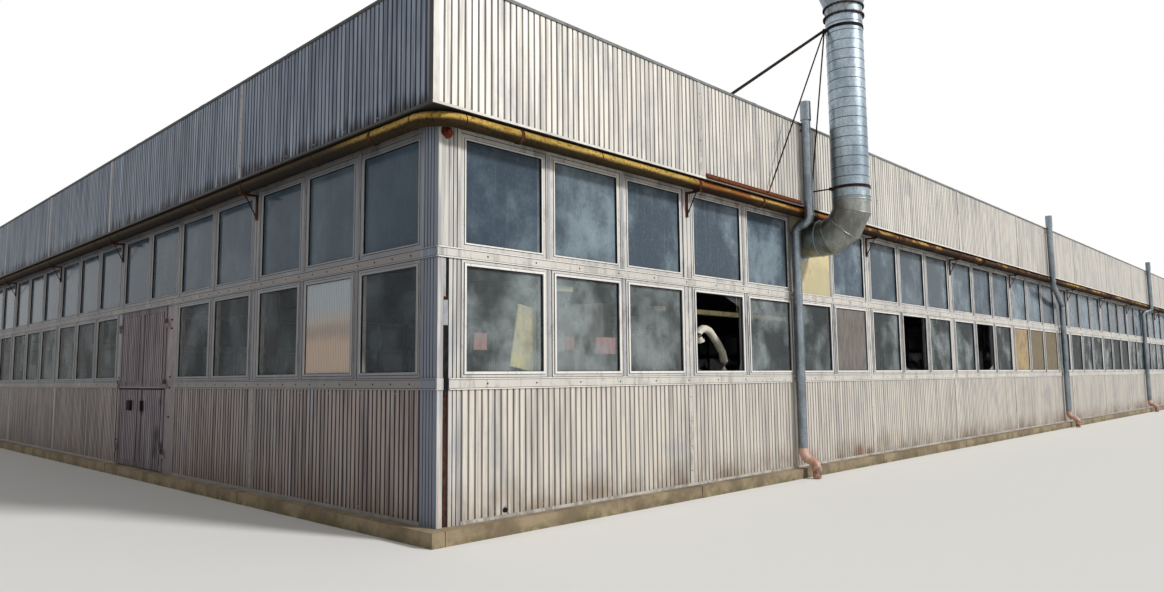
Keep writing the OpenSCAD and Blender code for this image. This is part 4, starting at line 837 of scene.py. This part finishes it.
def dressDuct():
    u, out, radius, axisLevel = hall["ductAt"], -hall["ductOut"], duct["radius"], duct["axisLevel"]
    flangeLow, flangeTop = duct["flangeLow"], duct["flangeLow"] + duct["flangeHigh"]
    seams, slant = bmesh.new(), math.cos(math.radians(duct["goreHalfDeg"]))
    for angle in map(math.radians, duct["mitresDeg"]):
        loop = []
        for t in turnsOf(duct["points"]):
            far = (duct["bend"] + radius * math.sin(t)) / slant
            loop.append(wallPoint("front", u + radius * math.cos(t), out + duct["bend"] - far * math.cos(angle),
                                  axisLevel + duct["bend"] - far * math.sin(angle)))
        addBar(seams, loop, duct["seamRadius"], loop=True)
    finishShape("elbow_mitre_seams", seams, "elbowZinc", smooth=True)
    laps = [(wallPoint("front", u, out, z), up) for z in (duct["collarTop"], duct["collarTop"] - duct["lapDown"])]
    laps.append((wallPoint("front", u, -duct["wallLap"], axisLevel), (0, 1, 0)))
    growPiece("duct_lap_beads", laps, "rings", {"Ring Radius": radius + duct["lapProud"], "Bead Radius": 0.005},
              "zinc", smooth=True)
    rim = radius + duct["coneHigh"] * math.tan(math.radians(duct["coneDeg"])) - duct["rimIn"]
    rimTop = flangeTop + duct["coneHigh"] + duct["rimHigh"] - duct["rimDown"]
    growPiece("head_rim_bead", [(wallPoint("front", u, out, rimTop), up)], "rings",
              {"Ring Radius": rim, "Bead Radius": 0.006}, "zinc", smooth=True)
    bolts = []
    for t in turnsOf(duct["bolts"], 0.5):
        a, b = u + duct["boltRing"] * math.cos(t), out + duct["boltRing"] * math.sin(t)
        for z, way in ((flangeLow, -up), (flangeTop, up), (flangeLow + duct["flangeThick"], up),
                       (flangeTop - duct["flangeThick"], -up)):
            bolts.append((wallPoint("front", a, b, z), way))
    growPiece("flange_bolts", bolts, "heads", {"Head Radius": 0.012, "Head Height": 0.01, "Sides": 6},
              "blackSteel")
    rivets = []
    for t in turnsOf(duct["rivets"]):
        outwards, sideways = Vector((math.cos(t), math.sin(t), 0)), Vector((math.cos(t), 0, math.sin(t)))
        for v, z, way in ((out, duct["collarTop"] - duct["rivetDown"], outwards),
                          (-duct["wallRivets"], axisLevel, sideways)):
            rivets.append((wallPoint("front", u, v, z) + way * radius, way))
    growPiece("duct_rivets", rivets, "heads", {"Head Radius": 0.007, "Head Height": 0.004, "Sides": 8}, "dullZinc")
    collar = bmesh.new()
    addRing(collar, wallPoint("front", u, hall["sashOut"] - duct["panelThick"], axisLevel), (0, 1, 0),
            radius + duct["panelGap"], radius + duct["panelRing"], duct["panelThick"], duct["points"])
    finishShape("panel_collar", collar, "dullZinc")


dressDuct()
print("duct dressed")

# Gas pipe: weld beads, flanged couplings, bolts on its brackets
gas = {"radius": 0.0665, "level": 3.64, "out": 0.155, "endsOff": 0.6, "firstWeld": 1.9, "weldPitch": 6.1,
       "cornerWeld": 0.145, "weldRadius": 0.005, "couplings": (13.3, 24.4), "couplingLong": 0.05,
       "couplingOuter": 0.084, "couplingGap": 0.0005, "couplingThick": 0.016, "couplingSides": 40,
       "boltOut": 0.016, "boltLevels": (3.30, 3.34, 3.53)}


def dressGasPipe():
    welds, bolts = [], []
    for wall, along in (("front", (1, 0, 0)), ("left", (0, 1, 0))):
        count = int((walls[wall]["width"] - gas["endsOff"]) / gas["weldPitch"])
        places = [gas["firstWeld"] + k * gas["weldPitch"] for k in range(count)] + [gas["cornerWeld"]]
        welds += [(wallPoint(wall, u, -gas["out"], gas["level"]), along) for u in places]
        bolts += [(wallPoint(wall, u, -gas["boltOut"], z), walls[wall]["facing"])
                  for u in bayStarts(walls[wall]["bays"])[1:-1] for z in gas["boltLevels"]]
    growPiece("pipe_welds", welds, "rings", {"Ring Radius": gas["radius"], "Bead Radius": gas["weldRadius"]},
              "rust", smooth=True)
    growPiece("bracket_bolts", bolts, "heads", {"Head Radius": 0.011, "Head Height": 0.009, "Sides": 6},
              "blackSteel")
    couplings = bmesh.new()
    for u in gas["couplings"]:
        for shift in (0.0, gas["couplingLong"]):
            addRing(couplings, wallPoint("front", u + shift, -gas["out"], gas["level"]), (1, 0, 0),
                    gas["radius"] + gas["couplingGap"], gas["couplingOuter"], gas["couplingThick"],
                    gas["couplingSides"])
    finishShape("pipe_couplings", couplings, "rust")


dressGasPipe()
print("gas pipe dressed")

# What leans or stands behind the lower panes of the front: outline (u, z), depth, thickness, finish
stored = {
    "leaning_board": (((1.02, 2.096), (1.245, 2.06), (1.241, 1.438), (0.908, 1.50)), 0.10, 0.02, "yellowBoard"),
    "shelf_batten": (((1.30, 2.25), (1.78, 2.265), (1.78, 2.315), (1.30, 2.31)), 0.12, 0.03, "yellowBoard"),
    "grey_hardboard": (((1.40, 2.10), (2.40, 2.19), (2.40, 1.30), (1.40, 1.30)), 0.16, 0.006, "greyBoard"),
}
boarded = {"panes": {6: "mauveBoard", 13: "tanBoard", 14: "oliveBoard", 15: "oliveBoard"}, "near": 0.006,
           "far": 0.012}
papers = {"near": 0.034, "far": 0.037, "sheets": (
    (0.423, 0.573, 1.643, 1.797), (1.442, 1.708, 1.662, 1.795), (2.02, 2.393, 1.63, 1.802))}
twinWall = {"count": 27, "first": 1.425, "pitch": 0.034, "ribWide": 0.026, "ribDepths": (0.004, 0.009),
            "sheet": (1.42, 2.35, 0.008, 0.013), "low": 1.45, "high": 2.385}


def boxPiece(name, wall, boxes, finish, body="building"):
    shape = bmesh.new()
    for low, high in boxes:
        addBox(shape, wall, low, high)
    finishShape(name, shape, finish, body=body)


def fillPanes():
    for name, (outline, near, thick, finish) in stored.items():
        shape = bmesh.new()
        addPlate(shape, "front", outline, near, near + thick)
        finishShape(name, shape, finish)
    low, high = rows["lower"][0] + hall["frameBar"], rows["lower"][1] - hall["frameBar"]
    for u, w, n in windowCells(longBays):
        if n in boarded["panes"]:
            boxPiece("boarded_pane_" + str(n), "front", [
                ((u + hall["frameBar"], boarded["near"], low), (u + w - hall["frameBar"], boarded["far"], high))],
                boarded["panes"][n])
    boxPiece("papers_on_glass", "front", [((start, papers["near"], z), (end, papers["far"], top))
                                          for start, end, z, top in papers["sheets"]], "paper")
    starts = [twinWall["first"] + k * twinWall["pitch"] for k in range(twinWall["count"])]
    spans = [(u, u + twinWall["ribWide"], *twinWall["ribDepths"]) for u in starts] + [twinWall["sheet"]]
    boxPiece("ribbed_plastic_pane", "left", [((start, near, twinWall["low"]), (end, far, twinWall["high"]))
                                             for start, end, near, far in spans], "twinWall")


fillPanes()
print("panes filled")

# Exhaust arm on the floor behind the open pane, and the lamp rail over it
arm = {"depth": 0.36, "radius": 0.05, "sides": 20, "tipWay": (0.3, 0, -1), "tipIn": 0.9, "tipOut": 1.35,
       "tipLong": 0.03,
       "path": ((4.824, 0.131), (4.824, 0.9), (4.824, 1.449), (4.830, 1.566), (4.789, 1.697), (4.66, 1.837),
                (4.51, 1.963), (4.437, 1.985), (4.369, 1.984), (4.308, 1.960), (4.269, 1.916), (4.274, 1.875),
                (4.288, 1.841))}
rail = {"depth": 0.6, "from": 3.7, "to": 7.6, "low": 2.205, "high": 2.262, "wide": 0.09,
        "hangers": (4.1, 5.6, 7.2), "hangerTop": 4.2, "rod": 0.006}


def dressInside():
    shape = bmesh.new()
    path = [wallPoint("front", u, arm["depth"], z) for u, z in arm["path"]]
    addBar(shape, path, arm["radius"], arm["sides"])
    addRing(shape, path[-1], arm["tipWay"], arm["radius"] * arm["tipIn"], arm["radius"] * arm["tipOut"],
            arm["tipLong"], arm["sides"])
    finishShape("exhaust_arm", shape, "paleArm", smooth=True)
    shape = bmesh.new()
    addBox(shape, "front", (rail["from"], rail["depth"], rail["low"]),
           (rail["to"], rail["depth"] + rail["wide"], rail["high"]))
    for u in rail["hangers"]:
        addBar(shape, [wallPoint("front", u, rail["depth"] + rail["wide"] / 2, z)
                       for z in (rail["high"], rail["hangerTop"])], rail["rod"])
    finishShape("lamp_rail", shape, "yellowBoard")


dressInside()
print("inside dressed")

# Shards left in the frames that have lost their panes: each along one edge of the frame, as parts of the pane
shards = {"near": 0.022, "far": 0.026, "taper": 0.86, "panes": {
    3: ((0.0, 0.0, 0.16, 0.05), (0.62, 1.0, 1.0, 0.94), (0.93, 0.0, 1.0, 0.22)),
    8: ((0.0, 0.0, 0.3, 0.1), (0.0, 0.8, 0.12, 1.0)), 11: ((0.7, 0.0, 1.0, 0.12), (0.0, 0.0, 0.1, 0.3))}}


def dressShards():
    shape, inset = bmesh.new(), hall["frameBar"]
    low, high = rows["lower"][0] + inset, rows["lower"][1] - rows["lower"][0] - 2 * inset
    for u, w, n in windowCells(longBays):
        left, wide = u + inset, w - 2 * inset
        for a, b, c, d in shards["panes"].get(n, ()):
            corner = (left + wide * (a >= 0.5), low + high * (b >= 0.5))
            outline = [corner, (left + wide * (a if a >= 0.5 else c), corner[1]),
                       (corner[0], low + high * (d if b < 0.5 else b * shards["taper"]))]
            addPlate(shape, "front", outline, shards["near"], shards["far"])
    finishShape("glass_shards", shape, "glass")


dressShards()
print("shards left in the frames")

# Corner: lips on the bands round it, the strip that closes part of the slot, black plates as painted shadow and
# rust in the slot
corner = {"slot": (0.062, 0.118), "shadowNear": 0.004, "shadowFar": 0.012, "shadowIn": 0.001,
          "soot": ((1.24, 1.85), (2.13, 2.44)), "bandStart": 0.128,
          "strips": (((0.058, -0.003, 1.85), (0.108, 0.003, 2.07)), ((0.058, 0.0, 2.10), (0.086, 0.003, 2.44)))}
fitting = {"u": 0.095, "z": 3.566, "radius": 0.075, "points": 14, "least": 0.62, "plateOut": 0.012,
           "stubOut": 0.05, "stubRadius": 0.022, "stubSides": 10}
hole = {"u": 0.76, "z": 0.196, "points": 10, "halfWide": 0.03, "halfHigh": 0.022, "near": -0.002, "far": 0.001}


def dressCorners():
    lips, creaseShadows = bmesh.new(), bmesh.new()
    for wall, side in walls.items():
        width = side["width"]
        for row, (low, high) in bandLevels.items():
            start = corner["bandStart"] if wall == "front" and row == "lower" else 0.0
            addBandEdges(lips, creaseShadows, wall, start, hall["casing"], low, high)
            addBandEdges(lips, creaseShadows, wall, width - hall["casing"], width, low, high)
    finishShape("corner_band_lips", lips, "beads")
    finishShape("corner_band_crease_shadows", creaseShadows, "rubber")
    boxPiece("slot_strip", "front", corner["strips"], "caps")
    # The black plates in the slot, at the heights listed under soot, are painted shadow
    start, end = corner["slot"][0] + corner["shadowIn"], corner["slot"][1] - corner["shadowIn"]
    boxPiece("slot_shadow_plates", "front", [((start, corner["shadowNear"], low), (end, corner["shadowFar"], high))
                                    for low, high in corner["soot"]], "rubber")
    rust, u, z, spin, ragged = bmesh.new(), fitting["u"], fitting["z"], random.Random(4), []
    for t in turnsOf(fitting["points"]):
        reach = fitting["radius"] * spin.uniform(fitting["least"], 1.0)
        ragged.append((u + reach * math.cos(t), z + reach * math.sin(t)))
    addPlate(rust, "front", ragged, -fitting["plateOut"], 0.0)
    addBar(rust, [wallPoint("front", u, v, z) for v in (-fitting["stubOut"], 0.0)], fitting["stubRadius"],
           fitting["stubSides"])
    finishShape("corner_fitting", rust, "fitting")
    # A black oval plate on the dado stands for a hole, its dark inside painted shade
    shape = bmesh.new()
    oval = [(hole["u"] + hole["halfWide"] * math.cos(t), hole["z"] + hole["halfHigh"] * math.sin(t))
            for t in turnsOf(hole["points"])]
    addPlate(shape, "front", oval, hole["near"], hole["far"])
    finishShape("dado_hole", shape, "rubber")


dressCorners()
print("corners dressed")

# Door: ribs over the leaves' rails, a trim and a seam at sill level, a head trim, bolts beside the leaves
leaf = {"face": -0.012, "ribPitch": 0.0375, "ribWide": 0.017, "ribProud": 0.004, "stile": 0.07, "edgeIn": 0.004,
        "railSpans": ((0.149, 0.215), (1.312, 1.390), (2.369, 2.435)),
        "stileSpans": ((0.149, 1.266), (1.314, 2.435)),
        "left": (7.354, 8.314), "right": (6.386, 7.346),
        "bars": {"seam": (1.268, 1.292, 0.002, "rubber"), "trim": (1.292, 1.312, 0.006, "doorPosts")}}
doorWay = {"headTrim": ((6.2, -0.034, 2.452), (8.4, -0.011, 2.474)),
           "bolts": ((6.2, 2.24), (6.2, 2.12), (6.2, 1.45), (6.2, 1.30), (6.2, 0.9), (8.36, 1.45), (8.36, 0.5))}


def dressDoor():
    face, half = leaf["face"], leaf["ribWide"] / 2
    for side in ("left", "right"):
        start, end = leaf[side]
        count = int((end - start) / leaf["ribPitch"])
        ribBoxes = []
        for u in (start + k * (end - start) / count for k in range(1, count)):
            onStile = min(u - start, end - u) < leaf["stile"]
            ribBoxes += [((u - half, face - leaf["ribProud"], low), (u + half, face, high))
                         for low, high in (leaf["stileSpans"] if onStile else leaf["railSpans"])]
        boxPiece(side + "_leaf_ribs", "left", ribBoxes, "door", side + "_leaf")
        for name, (low, high, proud, finish) in leaf["bars"].items():
            box = ((start + leaf["edgeIn"], face - proud, low), (end - leaf["edgeIn"], face, high))
            boxPiece(side + "_leaf_" + name, "left", [box], finish, side + "_leaf")
    boxPiece("door_head_trim", "left", [doorWay["headTrim"]], "beads")
    bolts = [(wallPoint("left", u, 0.0, z), (-1, 0, 0)) for u, z in doorWay["bolts"]]
    growPiece("door_post_bolts", bolts, "heads", {"Head Radius": 0.016, "Head Height": 0.012, "Sides": 6},
              "blackSteel")


dressDoor()
print("door dressed")

# Roof: laps of the felt, the fillet along the parapets, joint covers on the copings; joints in the plinth
roof = {"deckTop": 4.457, "lapPitch": 1.0, "lapWide": 0.08, "lapHigh": 0.004, "inset": 0.32}
fillet = {"longIn": 0.062, "endIn": 0.13, "near": 0.062, "far": 0.12, "lift": 0.005, "high": 0.06}
cover = {"pitch": 2.4, "wide": 0.12, "high": 0.004, "outer": hall["fasciaOut"] + 0.009, "inner": 0.068}
plinthJoint = {"wide": 0.012, "out": 0.138, "inner": 0.03, "proud": 0.001}


def dressRoof():
    inset, top, span = roof["inset"], roof["deckTop"], longWidth - 2 * roof["inset"]
    count = int(span / roof["lapPitch"])
    boxPiece("felt_laps", "front", [
        ((inset + k * span / count - roof["lapWide"] / 2, inset, top),
         (inset + k * span / count + roof["lapWide"] / 2, endWidth - inset, top + roof["lapHigh"]))
        for k in range(1, count)], "felt")
    fillets, covers, joints = bmesh.new(), bmesh.new(), bmesh.new()
    for wall, side in walls.items():
        edge = fillet["longIn"] if wall in ("front", "back") else fillet["endIn"]
        addBox(fillets, wall, (edge, fillet["near"], top + fillet["lift"]),
               (side["width"] - edge, fillet["far"], top + fillet["high"]))
        count = round(side["width"] / cover["pitch"])
        for u in (k * side["width"] / count for k in range(1, count)):
            addBox(covers, wall, (u - cover["wide"] / 2, -cover["outer"], level["coping"]),
                   (u + cover["wide"] / 2, cover["inner"], level["coping"] + cover["high"]))
        for u in bayStarts(side["bays"])[1:-1]:
            addBox(joints, wall, (u - plinthJoint["wide"] / 2, -plinthJoint["out"], 0.0),
                   (u + plinthJoint["wide"] / 2, -plinthJoint["inner"], level["floor"] + plinthJoint["proud"]))
    finishShape("parapet_fillets", fillets, "felt")
    finishShape("coping_covers", covers, "coping")
    finishShape("plinth_joints", joints, "rubber", "plinth_concrete")


dressRoof()
print("roof dressed")

# Downpipes: the folded seam down each length of pipe
rain = {"places": (5, 14.9, 25), "shifts": (0, 1.3, -0.2), "radius": 0.0625, "lowOut": 0.095, "highOut": 0.3115,
        "lowSpan": (0.46, 2.9), "highSpan": (3.62, 4.9), "seam": 0.004, "seamSides": 6}


def dressRain():
    shape = bmesh.new()
    for place, shift in zip(rain["places"], rain["shifts"]):
        for module, out, span in ((place, rain["highOut"], rain["highSpan"]),
                                  (place + shift, rain["lowOut"], rain["lowSpan"])):
            addBar(shape, [wallPoint("front", module * hall["module"], -out - rain["radius"], z) for z in span],
                   rain["seam"], rain["seamSides"])
    finishShape("downpipe_seams", shape, "dullZinc")


dressRain()
print("downpipes dressed")


# Camera, light and floor
view = {
    "position": (-22.168, -17.766, 1.390),
    "yawDeg": 44.051,
    "pitchDeg": 5.669,
    "rollDeg": 0.576,
    "focalPx": 815.5,
    "imageWidthPx": 1164,
    "sensorMm": 36,
}
light = {
    "sunFrom": (0.35, -1.0, 0.72),
    "sunStrength": 2.7,
    "sunSoftDeg": 9,
    "sky": 0.40,
    "floorSize": 500,
}


def placeCamera():
    yaw, pitch, roll = (math.radians(view[key]) for key in ("yawDeg", "pitchDeg", "rollDeg"))
    ahead = Vector((math.cos(yaw) * math.cos(pitch), math.sin(yaw) * math.cos(pitch), math.sin(pitch)))
    right = Vector((math.sin(yaw), -math.cos(yaw), 0))
    down = ahead.cross(right)
    turnedRight = right * math.cos(roll) + down * math.sin(roll)
    turnedDown = down * math.cos(roll) - right * math.sin(roll)
    camera = bpy.data.objects.new("camera", bpy.data.cameras.new("camera"))
    camera.matrix_world = Matrix.Translation(view["position"]) @ Matrix(
        (turnedRight, -turnedDown, -ahead)).transposed().to_4x4()
    camera.data.sensor_fit = "HORIZONTAL"
    camera.data.sensor_width = view["sensorMm"]
    camera.data.lens = view["focalPx"] / view["imageWidthPx"] * view["sensorMm"]
    camera.data.clip_end = light["floorSize"]
    bpy.context.scene.collection.objects.link(camera)
    bpy.context.scene.camera = camera


# White wherever the camera, a mirror or glass sees it, and plain soft light elsewhere
def seenDirectly(tree):
    rays = addNode(tree, "ShaderNodeLightPath")
    direct = rays.outputs["Is Camera Ray"]
    for kind in ("Is Glossy Ray", "Is Transmission Ray"):
        direct = addNode(tree, "ShaderNodeMath", {0: direct, 1: rays.outputs[kind]}, operation="MAXIMUM")
    return direct


def lightScene():
    sun = bpy.data.objects.new("sun", bpy.data.lights.new("sun", "SUN"))
    sun.data.energy = light["sunStrength"]
    sun.data.angle = math.radians(light["sunSoftDeg"])
    sun.rotation_euler = Vector(light["sunFrom"]).to_track_quat("Z", "Y").to_euler()
    bpy.context.scene.collection.objects.link(sun)
    world = bpy.data.worlds.new("studio")
    world.use_nodes = True
    tree = world.node_tree
    tree.nodes.clear()
    strength = addNode(tree, "ShaderNodeMapRange", {
        "Value": seenDirectly(tree), "To Min": light["sky"], "To Max": 1.0})
    shine = addNode(tree, "ShaderNodeBackground", {"Color": (1, 1, 1, 1), "Strength": strength})
    addNode(tree, "ShaderNodeOutputWorld", {"Surface": shine})
    bpy.context.scene.world = world
    half = light["floorSize"] / 2
    mesh = bpy.data.meshes.new("studio_floor")
    mesh.from_pydata([(-half, -half, 0), (half, -half, 0), (half, half, 0), (-half, half, 0)], [], [(0, 1, 2, 3)])
    floor = bpy.data.objects.new("studio_floor", mesh)
    bpy.context.scene.collection.objects.link(floor)
    material, tree, _ = startFinish("studio_floor_paint")
    mesh.materials.append(closeFinish(material, tree, {
        "Base Color": toLinear("#e6e4e0"), "Roughness": 1.0, "Specular IOR Level": 0.0}))


placeCamera()
lightScene()
bpy.context.scene.view_settings.view_transform = "Standard"
print("camera and light set")
